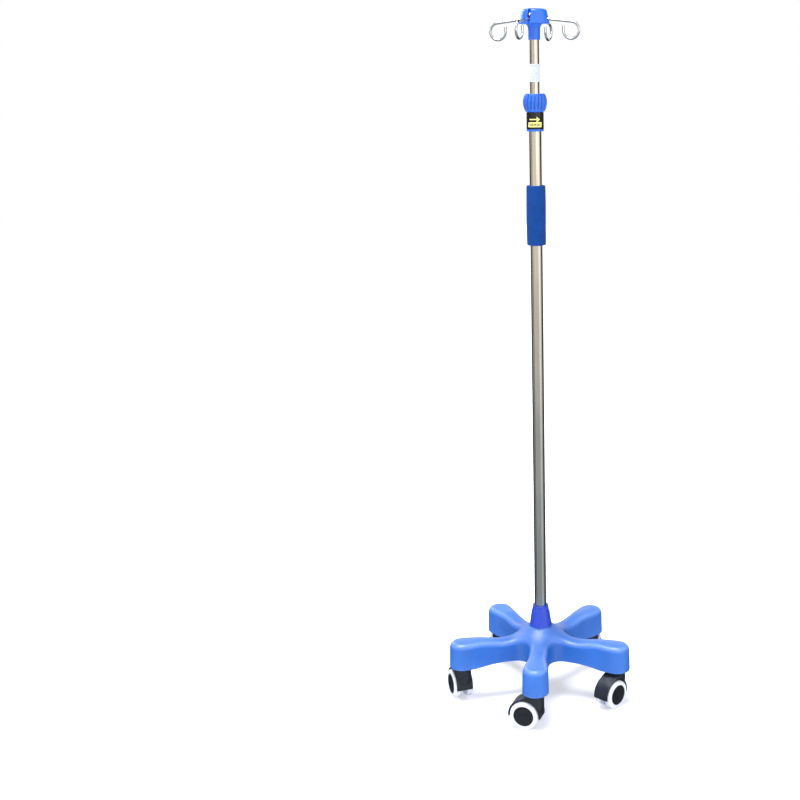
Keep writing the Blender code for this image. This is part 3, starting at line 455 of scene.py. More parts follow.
class Graph:
    """The node tree of one material or world."""

    def __init__(self, owner):
        owner.use_nodes = True
        self.tree = owner.node_tree
        self.tree.nodes.clear()

    def node(self, kind, settings=None, inputs=None, output=0):
        """Any node: its settings are set first, then the values or links of its sockets."""
        made = self.tree.nodes.new(kind)
        for name, value in (settings or {}).items():
            setattr(made, name, value)
        for key, value in (inputs or {}).items():
            if isinstance(value, Value):
                self.tree.links.new(value.socket, made.inputs[key])
            else:
                made.inputs[key].default_value = value
        return Value(self, made.outputs[output]) if made.outputs else made

    def place(self):
        """Object coordinates."""
        return self.node("ShaderNodeTexCoord", output="Object")

    def stretched(self, scale, rotation=(0, 0, 0)):
        """Object coordinates, scaled per axis and turned."""
        inputs = {"Vector": self.place(), "Scale": scale, "Rotation": rotation}
        return self.node("ShaderNodeMapping", None, inputs)

    def split(self, vector):
        """The x, y and z of a vector."""
        first = self.node("ShaderNodeSeparateXYZ", None, {0: vector})
        return [Value(self, socket) for socket in first.socket.node.outputs]

    def axes(self):
        """Object coordinates as three numbers."""
        return self.split(self.place())

    def facing_up(self):
        """1 where the surface faces straight up, 0 where it is upright and -1 where it faces down."""
        return self.split(self.node("ShaderNodeNewGeometry", output="Normal"))[2]

    def noise(self, scale, detail=3.0, roughness=0.55, vector=None):
        inputs = {"Vector": vector or self.place(), "Scale": scale, "Detail": detail, "Roughness": roughness}
        return self.node("ShaderNodeTexNoise", None, inputs)

    def cells(self, scale):
        return self.node("ShaderNodeTexVoronoi", None, {"Vector": self.place(), "Scale": scale})

    def attribute(self, name):
        return self.node("ShaderNodeAttribute", {"attribute_name": name}, output="Fac")

    def mix(self, factor, first, second):
        """Two colours mixed by a factor."""
        inputs = {0: factor, 6: rgba(first), 7: rgba(second)}
        return self.node("ShaderNodeMix", {"data_type": 'RGBA'}, inputs, output=2)

    def bump(self, height, strength, distance):
        inputs = {"Height": height, "Strength": strength, "Distance": distance}
        return self.node("ShaderNodeBump", None, inputs)

    def principled(self, **inputs):
        """The surface's shader. Its sockets are named in lower case with underscores."""
        named = {key.replace("_", " ").title().replace("Ior", "IOR"): value for key, value in inputs.items()}
        shader = self.node("ShaderNodeBsdfPrincipled", None, named)
        self.node("ShaderNodeOutputMaterial", None, {"Surface": shader})


def rgba(value):
    return value if isinstance(value, Value) else (*tuple(value)[:3], 1.0)


def tinted(value, factor):
    """A colour made lighter or darker by a factor."""
    return tuple(min(c * factor, 1.0) for c in value)


def new_graph(name):
    material = bpy.data.materials.new(name)
    return material, Graph(material)


# --- Materials -----------------------------------------------------------------------------

def moulded_plastic(name, tint, gloss):
    """Glossy moulded plastic: a cloudy tint, faint flow marks, orange peel and rub marks.

    An attribute marks the flutes' hollows, where painted shade darkens the colour.
    """
    material, g = new_graph(name)
    cloud = g.noise(22, 4)
    rub = g.noise(1.0, 6, 0.7, g.stretched((180, 60, 900)))
    peel = g.noise(900, 2)
    base = g.mix(cloud.ramp(0.35, 0.7), tinted(tint, 0.9), tinted(tint, 1.08))
    base = g.mix(rub.ramp(0.62, 0.75) * 0.16, base, (0.8, 0.86, 1.0))
    # Painted shade: the colour darkens in the hollows that the attribute marks.
    base = g.mix(g.attribute("valley_shade") * (0.5 + 0.5 * cloud), base, tinted(tint, 0.4))
    roughness = gloss + 0.1 * cloud.ramp(0.4, 0.7) + 0.16 * rub.ramp(0.55, 0.75)
    normal = g.bump(peel + 0.6 * rub, 0.35, 0.00006)
    g.principled(base_color=base, roughness=roughness, normal=normal, coat_weight=0.12, coat_roughness=0.18)
    return material


def base_plastic(s):
    """The moulding's plastic, with dust on the hub and in the hollows, edges made paler by wear and a
    painted highlight, and faces that look up painted paler, as if lit from above.
    """
    material, g = new_graph("base_plastic")
    x, y, _ = g.axes()
    radius = (x * x + y * y).math('SQRT')
    cloud = g.noise(16, 5)
    fine = g.noise(260, 4, 0.65)
    speck = g.cells(620)
    peel = g.noise(700, 2)
    scratch = g.noise(1.0, 5, 0.75, g.stretched((38, 420, 60), (0, 0, 0.6)))
    base = g.mix(cloud.ramp(0.3, 0.72), tinted(s.plastic, 0.93), tinted(s.plastic, 1.07))
    worn_and_highlit = g.attribute("edge") * (0.35 + 0.65 * fine.ramp(0.35, 0.65))
    # Paler edges: a painted highlight along the shoulders and the lip, mixed with edge wear.
    base = g.mix(worn_and_highlit * 0.34, base, (0.32, 0.46, 1.0))
    base = g.mix(scratch.ramp(0.68, 0.8) * 0.14, base, (0.62, 0.74, 1.0))
    near = 1 - radius.ramp(0.03, 0.135)
    lies = g.facing_up().ramp(0.35, 0.95)
    # Painted light: faces that look up are made paler, less so near the hub, as if lit from above.
    base = g.mix(lies * (0.16 - 0.14 * near), base, (0.40, 0.58, 0.92))
    base = g.mix(near * 0.45, base, tinted(s.plastic, 0.72))
    settled = near * lies * (0.3 + 0.7 * cloud.ramp(0.3, 0.62)) * (0.55 + 0.45 * fine)
    patches = lies * g.noise(34, 5, 0.7).ramp(0.56, 0.76) * 0.4
    dust = (settled + patches).clamp() * s.dusty
    base = g.mix(dust * 0.8, base, s.dust)
    grit = (speck < 0.16) * lies * cloud.ramp(0.45, 0.7) * 0.22
    base = g.mix(grit, base, (0.25, 0.24, 0.24))
    roughness = 0.33 + 0.1 * cloud.ramp(0.4, 0.7) + 0.32 * dust + 0.12 * scratch.ramp(0.6, 0.8)
    normal = g.bump(peel + 0.5 * scratch, 0.35, 0.00008)
    coat = 0.16 - 0.14 * dust
    g.principled(base_color=base, roughness=roughness, coat_weight=coat, coat_roughness=0.2, normal=normal)
    return material


def tube_steel(s):
    """Bright drawn steel: fine lines along the tube, faint handling marks and a few hazy bands."""
    material, g = new_graph("tube_steel")
    lines = g.noise(1.0, 6, 0.7, g.stretched((1600, 1600, 9)))
    haze = g.noise(1.0, 4, 0.6, g.stretched((26, 26, 5)))
    marks = g.noise(1.0, 5, 0.7, g.stretched((60, 60, 300)))
    base = g.mix(haze.ramp(0.35, 0.7), tinted(s.steel, 0.9), tinted(s.steel, 1.05))
    base = g.mix(lines.ramp(0.4, 0.75) * 0.25, base, tinted(s.steel, 0.68))
    roughness = 0.1 + 0.07 * lines + 0.08 * haze.ramp(0.4, 0.7) + 0.14 * marks.ramp(0.62, 0.78)
    normal = g.bump(lines, 0.12, 0.00003)
    g.principled(base_color=base, metallic=1.0, roughness=roughness, normal=normal)
    return material


def wire_steel(s):
    """Polished wire, with a slightly uneven polish."""
    material, g = new_graph("wire_steel")
    polish = g.noise(130, 4)
    nick = g.noise(900, 3)
    base = g.mix(polish.ramp(0.35, 0.7), tinted(s.wire_steel, 0.88), s.wire_steel)
    roughness = 0.07 + 0.09 * polish.ramp(0.4, 0.75) + 0.12 * nick.ramp(0.66, 0.8)
    g.principled(base_color=base, metallic=1.0, roughness=roughness, normal=g.bump(polish, 0.1, 0.00008))
    return material


def zinc_plate():
    """Zinc-plated steel: cool grey with a faint yellow and violet bloom in small patches."""
    material, g = new_graph("zinc_plate")
    bloom = g.noise(240, 4)
    flakes = g.cells(1500)
    base = g.mix(bloom.ramp(0.3, 0.7), (0.46, 0.47, 0.52), (0.60, 0.58, 0.50))
    base = g.mix(flakes.ramp(0.1, 0.6) * 0.3, base, (0.66, 0.67, 0.70))
    roughness = 0.28 + 0.2 * bloom + 0.1 * flakes
    g.principled(base_color=base, metallic=1.0, roughness=roughness, normal=g.bump(flakes, 0.15, 0.00004))
    return material


def grip_foam(s):
    """Matt closed-cell foam: a pored skin, paler where the pores open, darker in the dents."""
    material, g = new_graph("grip_foam")
    pores = g.cells(1500)
    rough = g.noise(700, 5, 0.7)
    cloud = g.noise(45, 4)
    base = g.mix(cloud.ramp(0.3, 0.7), tinted(s.foam, 0.86), tinted(s.foam, 1.12))
    base = g.mix(pores.ramp(0.35, 0.7) * 0.3, base, tinted(s.foam, 1.6))
    base = g.mix(rough.ramp(0.62, 0.8) * 0.3, base, tinted(s.foam, 0.55))
    normal = g.bump(pores + rough, 0.55, 0.0003)
    g.principled(base_color=base, roughness=0.82 + 0.12 * rough, normal=normal, specular_ior_level=0.25)
    return material


def black_plastic(name, tint, grain_scale, gloss):
    """Black moulding with a fine grain, scuffs and a little grey dust in the grain."""
    material, g = new_graph(name)
    cloud = g.noise(60, 5)
    grain = g.noise(grain_scale, 3, 0.6)
    scuff = g.noise(1.0, 6, 0.75, g.stretched((120, 700, 160), (0.3, 0.5, 0.2)))
    base = g.mix(cloud.ramp(0.3, 0.7), tinted(tint, 0.8), tinted(tint, 1.25))
    base = g.mix(scuff.ramp(0.64, 0.8) * 0.35, base, (0.16, 0.18, 0.22))
    base = g.mix(g.facing_up().ramp(0.5, 1.0) * cloud.ramp(0.35, 0.7) * 0.3, base, (0.14, 0.15, 0.17))
    roughness = gloss + 0.14 * cloud + 0.12 * scuff.ramp(0.6, 0.8)
    normal = g.bump(grain, 0.3, 0.00012)
    g.principled(base_color=base, roughness=roughness, normal=normal)
    return material


def tyre_rubber(s):
    """Soft pale tread, darker where it rolls: painted shade mixed with floor dirt."""
    material, g = new_graph("tyre_rubber")
    cloud = g.noise(90, 5)
    fine = g.noise(800, 3)
    rolled = g.attribute("tread")
    base = g.mix(cloud.ramp(0.3, 0.7), tinted(s.tread, 0.93), s.tread)
    # Painted shade along the rolling face, mottled like floor dirt.
    dirt_and_shade = rolled * (0.2 + 0.8 * g.noise(210, 5, 0.7).ramp(0.4, 0.7)) * 0.42
    base = g.mix(dirt_and_shade, base, (0.2, 0.2, 0.22))
    base = g.mix(fine.ramp(0.66, 0.8) * 0.25, base, (0.42, 0.42, 0.46))
    roughness = 0.42 + 0.12 * cloud + 0.25 * dirt_and_shade
    g.principled(base_color=base, roughness=roughness, normal=g.bump(fine, 0.2, 0.0001),
                 subsurface_weight=0.06, subsurface_scale=0.001)
    return material


def acetal():
    """Off-white bearing plastic, faintly streaked by its machining."""
    material, g = new_graph("acetal")
    streak = g.noise(1.0, 4, 0.6, g.stretched((200, 200, 2500)))
    base = g.mix(streak.ramp(0.35, 0.7), (0.66, 0.66, 0.62), (0.80, 0.80, 0.77))
    g.principled(base_color=base, roughness=0.38 + 0.12 * streak, normal=g.bump(streak, 0.2, 0.00005))
    return material


def around(g, x, y, facing):
    """How far round the pole a point is from the way `facing`, in radians, from -pi to pi."""
    turned_x = x * math.cos(facing) + y * math.sin(facing)
    turned_y = y * math.cos(facing) - x * math.sin(facing)
    return turned_y.math('ARCTAN2', turned_x)


def paper_label(s, bottom, top, radius, facing):
    """A white paper label with rows of plain dashes, a ruled line above them and worn paper."""
    material, g = new_graph("paper_label")
    x, y, z = g.axes()
    u = around(g, x, y, facing) * radius
    v = (z - bottom) / (top - bottom)
    fibre = g.noise(700, 5, 0.7)
    cloud = g.noise(120, 4)
    base = g.mix(cloud.ramp(0.3, 0.7), tinted(s.paper, 0.94), s.paper)
    dashes = (g.noise(1.0, 1, 0.5, g.stretched((900, 900, 260))) > 0.5)
    lines = (v * 9).math('FRACT').between(0.3, 0.62) * v.between(0.12, 0.84)
    inside = abs(u) < 0.0068
    marks = dashes * lines * inside
    rule = v.band(0.9, 0.012, 0.006) * inside
    base = g.mix((marks * 0.75 + rule * 0.8).clamp(), base, s.ink)
    base = g.mix(fibre.ramp(0.6, 0.8) * 0.2, base, (0.55, 0.58, 0.62))
    g.principled(base_color=base, roughness=0.5 + 0.12 * fibre, normal=g.bump(fibre, 0.12, 0.00005))
    return material


def printed_film(s, bottom, top, radius, facing):
    """A black sticker with a plain arrow above a pale band that carries a row of small blocks."""
    material, g = new_graph("printed_film")
    x, y, z = g.axes()
    u = around(g, x, y, facing) * radius
    v = (z - bottom) / (top - bottom)
    wear_and_highlight = g.noise(420, 5, 0.7)
    band = v.between(0.12, 0.42) * (abs(u) < 0.0146)
    blocks = (u / 0.0029).math('FRACT').between(0.2, 0.78) * v.between(0.20, 0.34) * (abs(u) < 0.0124)
    shaft = v.between(0.55, 0.62) * u.between(-0.0115, 0.004)
    head = (abs(v - 0.585) < (0.0105 - u) / 0.0066 * 0.16) * (u > 0.0035)
    ink = (band * (1 - blocks) + (shaft + head).clamp()).clamp()
    worn_and_highlit = ink * (0.72 + 0.28 * wear_and_highlight.ramp(0.3, 0.6))
    base = g.mix(worn_and_highlit, s.film, s.print_colour)
    base = g.mix(wear_and_highlight.ramp(0.66, 0.8) * 0.2, base, (0.12, 0.12, 0.12))
    g.principled(base_color=base, roughness=0.28 + 0.2 * wear_and_highlight, normal=g.bump(wear_and_highlight, 0.12, 0.00005))
    return material


# --- Base ----------------------------------------------------------------------------------

def leg_top(s, radius):
    """Height of the top along a leg.

    From the hub it falls as (1 - x) to the power 2.2, and from the saddle it rises smoothly to the tip.
    """
    tip = low("base_shell").z + s.tip_height
    saddle = tip - s.saddle_dip
    shoulder = high("base_shell").z - 1 * MM
    reach = np.clip((radius - s.seat_radius) / (s.saddle_radius - s.seat_radius), 0, 1)
    falling = saddle + (shoulder - saddle) * (1 - reach) ** 2.2
    rising = saddle + s.saddle_dip * smoothstep((radius - s.saddle_radius) / (0.3 * s.stem_circle))
    return np.where(radius < s.saddle_radius, falling, rising)


def leg_bottom(s, radius):
    """Height of the skirt's edge, which arches up smoothly towards the hub."""
    reach = (radius - 0.5 * s.stem_circle) / (0.4 * s.stem_circle)
    return low("base_shell").z + s.arch * (1 - smoothstep(reach))


def star_outline(s):
    """The base's outline, and for each of its points the place on a leg's middle line it faces.

    One half of a leg is a stretch of the crotch's circle, a waisted side that widens as a
    smoothstep, and a quarter circle round the tip. It is mirrored, and turned for each leg.
    """
    step = 2 * math.pi / len(CASTERS)
    across_centre = s.waist_half_width + s.crotch_fillet
    along_centre = across_centre / math.tan(step / 2)
    part = np.linspace(0, 1, 12, endpoint=False)
    angle = 1.5 * np.pi - (1 - part) * (np.pi / 2 - step / 2)
    crotch = np.stack([along_centre + s.crotch_fillet * np.cos(angle),
                       across_centre + s.crotch_fillet * np.sin(angle), along_centre * part])
    along = np.linspace(along_centre, s.stem_circle, 24, endpoint=False)
    spread = smoothstep((along - s.waist_radius) / (s.stem_circle - s.waist_radius))
    width = s.waist_half_width + (s.tip_half_width - s.waist_half_width) * spread
    side = np.stack([along, width, along])
    angle = np.linspace(0, np.pi / 2, 14)
    tip = np.stack([s.stem_circle + s.tip_half_width * np.sin(angle), s.tip_half_width * np.cos(angle),
                    np.full(len(angle), s.stem_circle)])
    half = np.concatenate([crotch, side, tip], axis=1)
    mirrored = half * np.array([[1], [-1], [1]])
    leg = np.concatenate([mirrored, half[:, -2:0:-1]], axis=1)
    edges, spines = [], []
    for name in CASTERS:
        away = joint_place(f"caster_{name}_swivel").xy.normalized()
        forward, left = np.array(away)[:, None], np.array((-away.y, away.x))[:, None]
        edges.append((forward * leg[0] + left * leg[1]).T)
        spines.append((forward * leg[2]).T)
    return np.concatenate(edges), np.concatenate(spines)


def moulding_rows(s):
    """Rows of the moulding's section: inset, drop, share of the way to the middle, way down, lift, and how
    much the edge is paled by wear and a painted highlight.

    Over the top, round the shoulder, down the side, round the lip, up inside and back to the middle.
    """
    rows = []
    flat = s.draft + s.edge_fillet
    for part in np.linspace(1, 0, 11):
        rows.append((flat, 0, part, 0, 0, 0))
    for angle in np.linspace(np.pi / 2, 0, 11)[1:]:
        inset = s.draft + s.edge_fillet * (1 - math.cos(angle))
        rows.append((inset, s.edge_fillet * (1 - math.sin(angle)), 0, 0, 0, math.sin(2 * angle) ** 2))
    for down in np.linspace(0, 1, 9)[1:]:
        rows.append((s.draft * (1 - down), s.edge_fillet, 0, down, s.lip * down, 0.25 * down ** 6))
    for angle in np.linspace(0, np.pi, 9)[1:-1]:
        inset = s.wall / 2 * (1 - math.cos(angle))
        rows.append((inset, s.edge_fillet, 0, 1, s.lip * (1 - math.sin(angle)), 0.8))
    for down in np.linspace(1, 0, 6):
        rows.append((s.wall + s.draft * (1 - down), s.edge_fillet, 0, down, s.lip * down, 0))
    inner = s.edge_fillet - s.wall
    for angle in np.linspace(0, np.pi / 2, 6)[1:]:
        inset = s.wall + s.draft + inner * (1 - math.cos(angle))
        rows.append((inset, s.wall + inner * (1 - math.sin(angle)), 0, 0, 0, 0))
    for part in np.linspace(0, 1, 6)[1:]:
        rows.append((flat, s.wall, part, 0, 0, 0))
    return np.array(rows)


def moulding_surface(s):
    """The moulding's whole skin: its outline shrunk and lowered row by row, as its section says."""
    edge, spine = star_outline(s)
    rows = moulding_rows(s)
    inset, drop, part, down, lift, wear_and_highlight = [column[:, None] for column in rows.T]
    reach = np.linalg.norm(spine - edge, axis=1)[None]
    pull = np.minimum(inset / reach, 1)
    pull = pull + (1 - pull) * part
    flat = edge[None] * (1 - pull[..., None]) + spine[None] * pull[..., None]
    radius = np.linalg.norm(flat, axis=-1)
    crown = s.crown * (1 - (1 - part) ** 2) * (drop == 0) * smoothstep((radius - 0.04) / 0.05)
    top = leg_top(s, radius) - drop + crown
    height = top * (1 - down) + leg_bottom(s, radius) * down + lift
    points = np.concatenate([flat, height[..., None]], axis=-1)
    return grid(points), np.broadcast_to(wear_and_highlight, radius.shape).ravel()


def base_inside(s):
    """What stiffens the moulding: the hub's seat and boss, five ribs and five stem sockets."""
    bore = bore_over("lower_tube")
    hub = high("base_shell").z
    foot = low("lower_tube").z - GAP
    floor = high("base_washer").z + GAP
    bolt_hole = 4 * MM + GAP
    thick = 4 * MM
    boss = bore + thick
    seat_foot = hub - thick
    seat = rounded([(bore, hub, 0.3 * MM), (s.seat_radius, hub, 0.9 * MM), (s.seat_radius, seat_foot, 0),
                    (bore, seat_foot, 0)], closed=True)
    sleeve = rounded([(bore, seat_foot, 0), (boss, seat_foot, 0), (boss, floor, 0.6 * MM),
                      (bolt_hole, floor, 0.3 * MM), (bolt_hole, foot, 0), (bore, foot, 0)], closed=True)
    surfaces = [turned(seat), turned(sleeve)]
    face = low("base_shell").z + SOCKET_RECESS
    socket_bore = 5.8 * MM
    socket_radius = socket_bore + thick
    crown = float(leg_top(s, np.array(s.stem_circle))) - s.wall / 2
    blind = high("caster_front_stem").z + GAP
    socket = rounded([(0, crown, 0), (socket_radius, crown, 0), (socket_radius, face, 0.6 * MM),
                      (socket_bore, face, 0.4 * MM), (socket_bore, blind, 0), (0, blind, 0)])
    start, end = boss - TOUCH, s.stem_circle - socket_radius + TOUCH
    along = np.linspace(start, end, 40)
    top = leg_top(s, along) - 0.6 * s.wall
    knots = np.array([start, 0.5 * s.stem_circle, end])
    bottom = np.interp(along, knots, leg_bottom(s, knots) + SOCKET_RECESS)
    half = 1.3 * MM
    edge = bottom - 0.3 * MM
    ring = [(half, bottom), (0.5 * half, edge), (-0.5 * half, edge), (-half, bottom),
            (-half, top), (half, top)]
    rib = np.stack([np.stack([along, np.full(len(along), y), z], -1) for y, z in ring], axis=1)
    for name in CASTERS:
        stem = joint_place(f"caster_{name}_swivel")
        turn = Matrix.Rotation(math.atan2(stem.y, stem.x), 4, 'Z')
        surfaces.append(placed(grid(capped(rib)), turn))
        surfaces.append(placed(turned(socket, 48, closed=False), Matrix.Translation((stem.x, stem.y, 0))))
    return surfaces


def build_base(s):
    skin, wear_and_highlight = moulding_surface(s)
    # The paler edge carries edge wear and a painted highlight.
    mesh = new_mesh("base_moulding", [skin, *base_inside(s)], {"edge": wear_and_highlight})
    finish_piece("base_moulding", mesh, base_plastic(s), "stand", ["base_shell"], sharp=35)


def build_cone(pole):
    """The cone round the pole's foot: a flared skirt, a step near the top and a rolled lip."""
    foot, top = low("hub_cone").z, high("hub_cone").z
    radius = high("hub_cone").x
    bore = bore_over("lower_tube")
    tall = top - foot
    lip = bore + 3.7 * MM
    step = top - 0.27 * tall
    step_radius = lip + (radius - lip) * 0.27
    wall = 2.6 * MM
    profile = rounded([
        (bore, top, 0.5 * MM), (lip - 0.2 * MM, top, 1.0 * MM), (lip, top - 1.6 * MM, 0.6 * MM),
        (lip - 0.35 * MM, top - 2.2 * MM, 0.4 * MM), (step_radius - 0.5 * MM, step + 0.3 * MM, 0.3 * MM),
        (step_radius + 0.25 * MM, step - 0.5 * MM, 0.6 * MM), (radius - 0.9 * MM, foot + 3 * MM, 2 * MM),
        (radius, foot + 0.8 * MM, 0.6 * MM), (radius - 0.2 * MM, foot, 0.2 * MM),
        (radius - wall, foot, 0.2 * MM), (step_radius - wall, step, 1 * MM), (bore, step, 0)], closed=True)
    material = moulded_plastic("cone_plastic", pole.cone_plastic, 0.32)
    finish_piece("pole_cone", new_mesh("pole_cone", [turned(profile, 128)]), material, "stand",
                 ["hub_cone"])


# --- Pole ----------------------------------------------------------------------------------

def tube_surface(node, wall):
    """A round tube from its frame node, with its cut ends lightly broken."""
    bottom, top = low(node).z, high(node).z
    outer = high(node).x
    broken = 0.35 * MM
    profile = rounded([(outer, top, broken), (outer, bottom, broken), (outer - wall, bottom, broken),
                       (outer - wall, top, broken)], closed=True)
    return turned(profile, 128)


def build_tubes(pole):
    steel = tube_steel(pole)
    for name, node, wall, body in (("lower_pole", "lower_tube", pole.lower_wall, "stand"),
                                   ("upper_pole", "upper_tube", pole.upper_wall, "mast")):
        mesh = new_mesh(name, [tube_surface(node, wall)])
        finish_piece(name, mesh, steel, body, [node])


def build_grip(pole):
    """The foam sleeve: a swollen tube with rolled ends, whose radius wanders a little.

    Radius = sleeve + swell * sin(pi t) + unevenness * (two slow waves round and along the sleeve).
    """
    bottom, top = low("foam_grip").z, high("foam_grip").z
    bore = bore_over("lower_tube")
    outer = high("foam_grip").x
    corners = rounded([(outer - 0.3 * MM, top, 3.2 * MM), (outer - 0.3 * MM, bottom, 3.2 * MM),
                       (bore, bottom, 1.2 * MM), (bore, top, 1.2 * MM)], steps=9, closed=True)
    side = np.stack([np.full(70, outer - 0.3 * MM), np.linspace(top - 3.6 * MM, bottom + 3.6 * MM, 70)], -1)
    profile = np.concatenate([corners[:10], side, corners[10:]])
    points = turned_points(profile, 144, closed=True)
    angle = np.arctan2(points[..., 1], points[..., 0])
    t = (points[..., 2] - bottom) / (top - bottom)
    radius = np.linalg.norm(points[..., :2], axis=-1)
    skin = smoothstep((radius - bore) / (outer - bore))
    waves = np.sin(2 * angle + 5 * t) * np.sin(7 * t + 1) + 0.6 * np.sin(3 * angle - 9 * t + 2)
    swell = 0.35 * MM * np.sin(np.pi * t) + 0.4 * pole.grip_sag * waves
    creases = -0.25 * MM * np.exp(-((t - 0.06 - 0.01 * np.sin(angle + 1)) / 0.012) ** 2)
    points[..., :2] *= ((radius + skin * (swell + creases)) / radius)[..., None]
    grip = finish_piece("foam_sleeve", new_mesh("foam_sleeve", [grid(points)]), grip_foam(pole), "stand",
                        ["foam_grip"], sharp=60)


def film_surface(node, thickness, span, columns=120):
    """A thin film wrapped round the pole through `span`, with its far ends closed.

    Its section is a flat loop: outside from top to bottom, and back up inside.
    """
    bottom, top = low(node).z, high(node).z
    outer = high(node).x
    inner = outer - thickness
    loop = rounded([(outer, top, 0.1 * MM), (outer, bottom, 0.1 * MM), (inner, bottom, 0), (inner, top, 0)],
                   steps=3, closed=True)
    loop = np.vstack([loop, loop[:1]])
    angle = np.linspace(-span / 2, span / 2, columns)
    parts = np.broadcast_arrays(loop[:, :1] * np.cos(angle), loop[:, :1] * np.sin(angle), loop[:, 1:])
    points = np.stack(parts, axis=-1)
    ends = [points[:, column] for column in (0, -1)]
    caps = [np.broadcast_to(end.mean(axis=0), end.shape) for end in ends]
    points = np.concatenate([caps[0][:, None], points, caps[1][:, None]], axis=1)
    return grid(points, wrap=False)


def build_labels(pole, lock):
    for name, node, body, slot, span, make, settings in (
            ("paper_label", "tube_label", "mast", "sticker_white", PAPER_SPAN, paper_label, pole),
            ("lock_sticker", "lock_label", "stand", "sticker_black", STICKER_SPAN, printed_film, lock)):
        surface = placed(film_surface(node, LABEL_THICKNESS, span), Matrix.Rotation(LABEL_FACING, 4, 'Z'))
        bottom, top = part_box(node)
        material = make(settings, bottom.z, top.z, top.x, LABEL_FACING)
        finish_piece(name, new_mesh(name, [surface]), material, body, [node])


# --- Lock ----------------------------------------------------------------------------------

def build_collar(plastic):
    """The collar on the lower tube: a rim, the sticker's seat, a spigot and the collet's cone."""
    foot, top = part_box("lock_collar")
    rim = top.x
    seat = sticker_seat()
    sticker_foot, sticker_top = low("lock_label").z, high("lock_label").z
    tube_bore = bore_over("lower_tube")
    ledge = high("lower_tube").z + GAP
    mast_bore = bore_over("tube_label")
    spigot = seat - 2.4 * MM
    profile = rounded([
        (spigot, top.z, 0.5 * MM), (spigot, sticker_top + GAP, 0), (seat, sticker_top + GAP, 0.4 * MM),
        (seat, sticker_foot - GAP, 0.2 * MM), (rim, sticker_foot - GAP, 0.7 * MM), (rim, foot.z, 1.2 * MM),
        (tube_bore, foot.z, 0.3 * MM), (tube_bore, ledge, 0), (mast_bore, ledge, 0),
        (mast_bore, top.z - 10 * MM, 0), (mast_bore + 2.3 * MM, top.z, 0.2 * MM)], closed=True)
    finish_piece("tube_collar", new_mesh("tube_collar", [turned(profile, 120)]), plastic, "stand",
                 ["lock_collar"])


def build_knob(lock, plastic):
    """The fluted barrel knob.

    Radius = foot + bulge * sin(pi (0.1 + 0.9 t)) ** 0.7, less the flutes' depth * (1 - |cos|), which
    fades in above the foot and out below the shoulder, and leans with the height.
    """
    foot, top = low("lock_knob").z, high("lock_knob").z
    widest = high("lock_knob").x
    seat = sticker_seat()
    base = seat + 1.2 * MM
    tall = top - foot
    t = np.linspace(0, 1, 56)
    shoulder = base - 0.6 * MM + 0.6 * MM * t
    swell = np.sin(np.pi * (0.1 + 0.9 * t)) ** 0.7
    barrel = np.stack([shoulder + (widest - shoulder) * swell, top - 1 * MM - (tall - 1 * MM) * t], -1)
    bore = high("lock_collar").x - 3.1 * MM
    throat = bore_over("tube_label")
    inside = rounded([(bore + 0.6 * MM, foot, 0.4 * MM), (bore, foot + 1 * MM, 0.5 * MM),
                      (bore, top - 14 * MM, 1 * MM), (throat, top - 4 * MM, 0.5 * MM),
                      (throat, top, 0.4 * MM)])
    lead = rounded([(throat, top, 0), (barrel[0, 0] - 1.2 * MM, top, 0.8 * MM), tuple(barrel[0]) + (0,)])
    profile = np.concatenate([lead, barrel, inside])
    points = turned_points(profile, 16 * lock.flutes, closed=True)
    angle = np.arctan2(points[..., 1], points[..., 0])
    rise = (points[..., 2] - foot) / tall
    radius = np.linalg.norm(points[..., :2], axis=-1)
    outside = np.zeros(len(profile) + 1, bool)
    outside[len(lead) - 3:len(lead) + len(barrel) - 1] = True
    lobe = np.sqrt(np.cos(lock.flutes * (angle - lock.flute_lean * rise) / 2) ** 2 + 0.003)
    fade = smoothstep(rise / 0.22) * smoothstep((1.02 - rise) / 0.16)
    depth = lock.flute_depth * fade * np.clip(1 - lobe, 0, 1) * outside[:, None]
    points[..., :2] *= ((radius - depth) / radius)[..., None]
    # The flutes' depth, passed on for the painted shade in the hollows.
    valley_shade = {"valley_shade": np.clip(1.6 * depth / lock.flute_depth - 0.4, 0, 1).ravel()}
    mesh = new_mesh("twist_knob", [grid(points)], valley_shade)
    finish_piece("twist_knob", mesh, plastic, "lock_knob", ["lock_knob"])


# --- Head and hooks ------------------------------------------------------------------------

def hook_heading(name):
    pivot = joint_place(f"{name}_fold")
    return math.atan2(pivot.y, pivot.x)


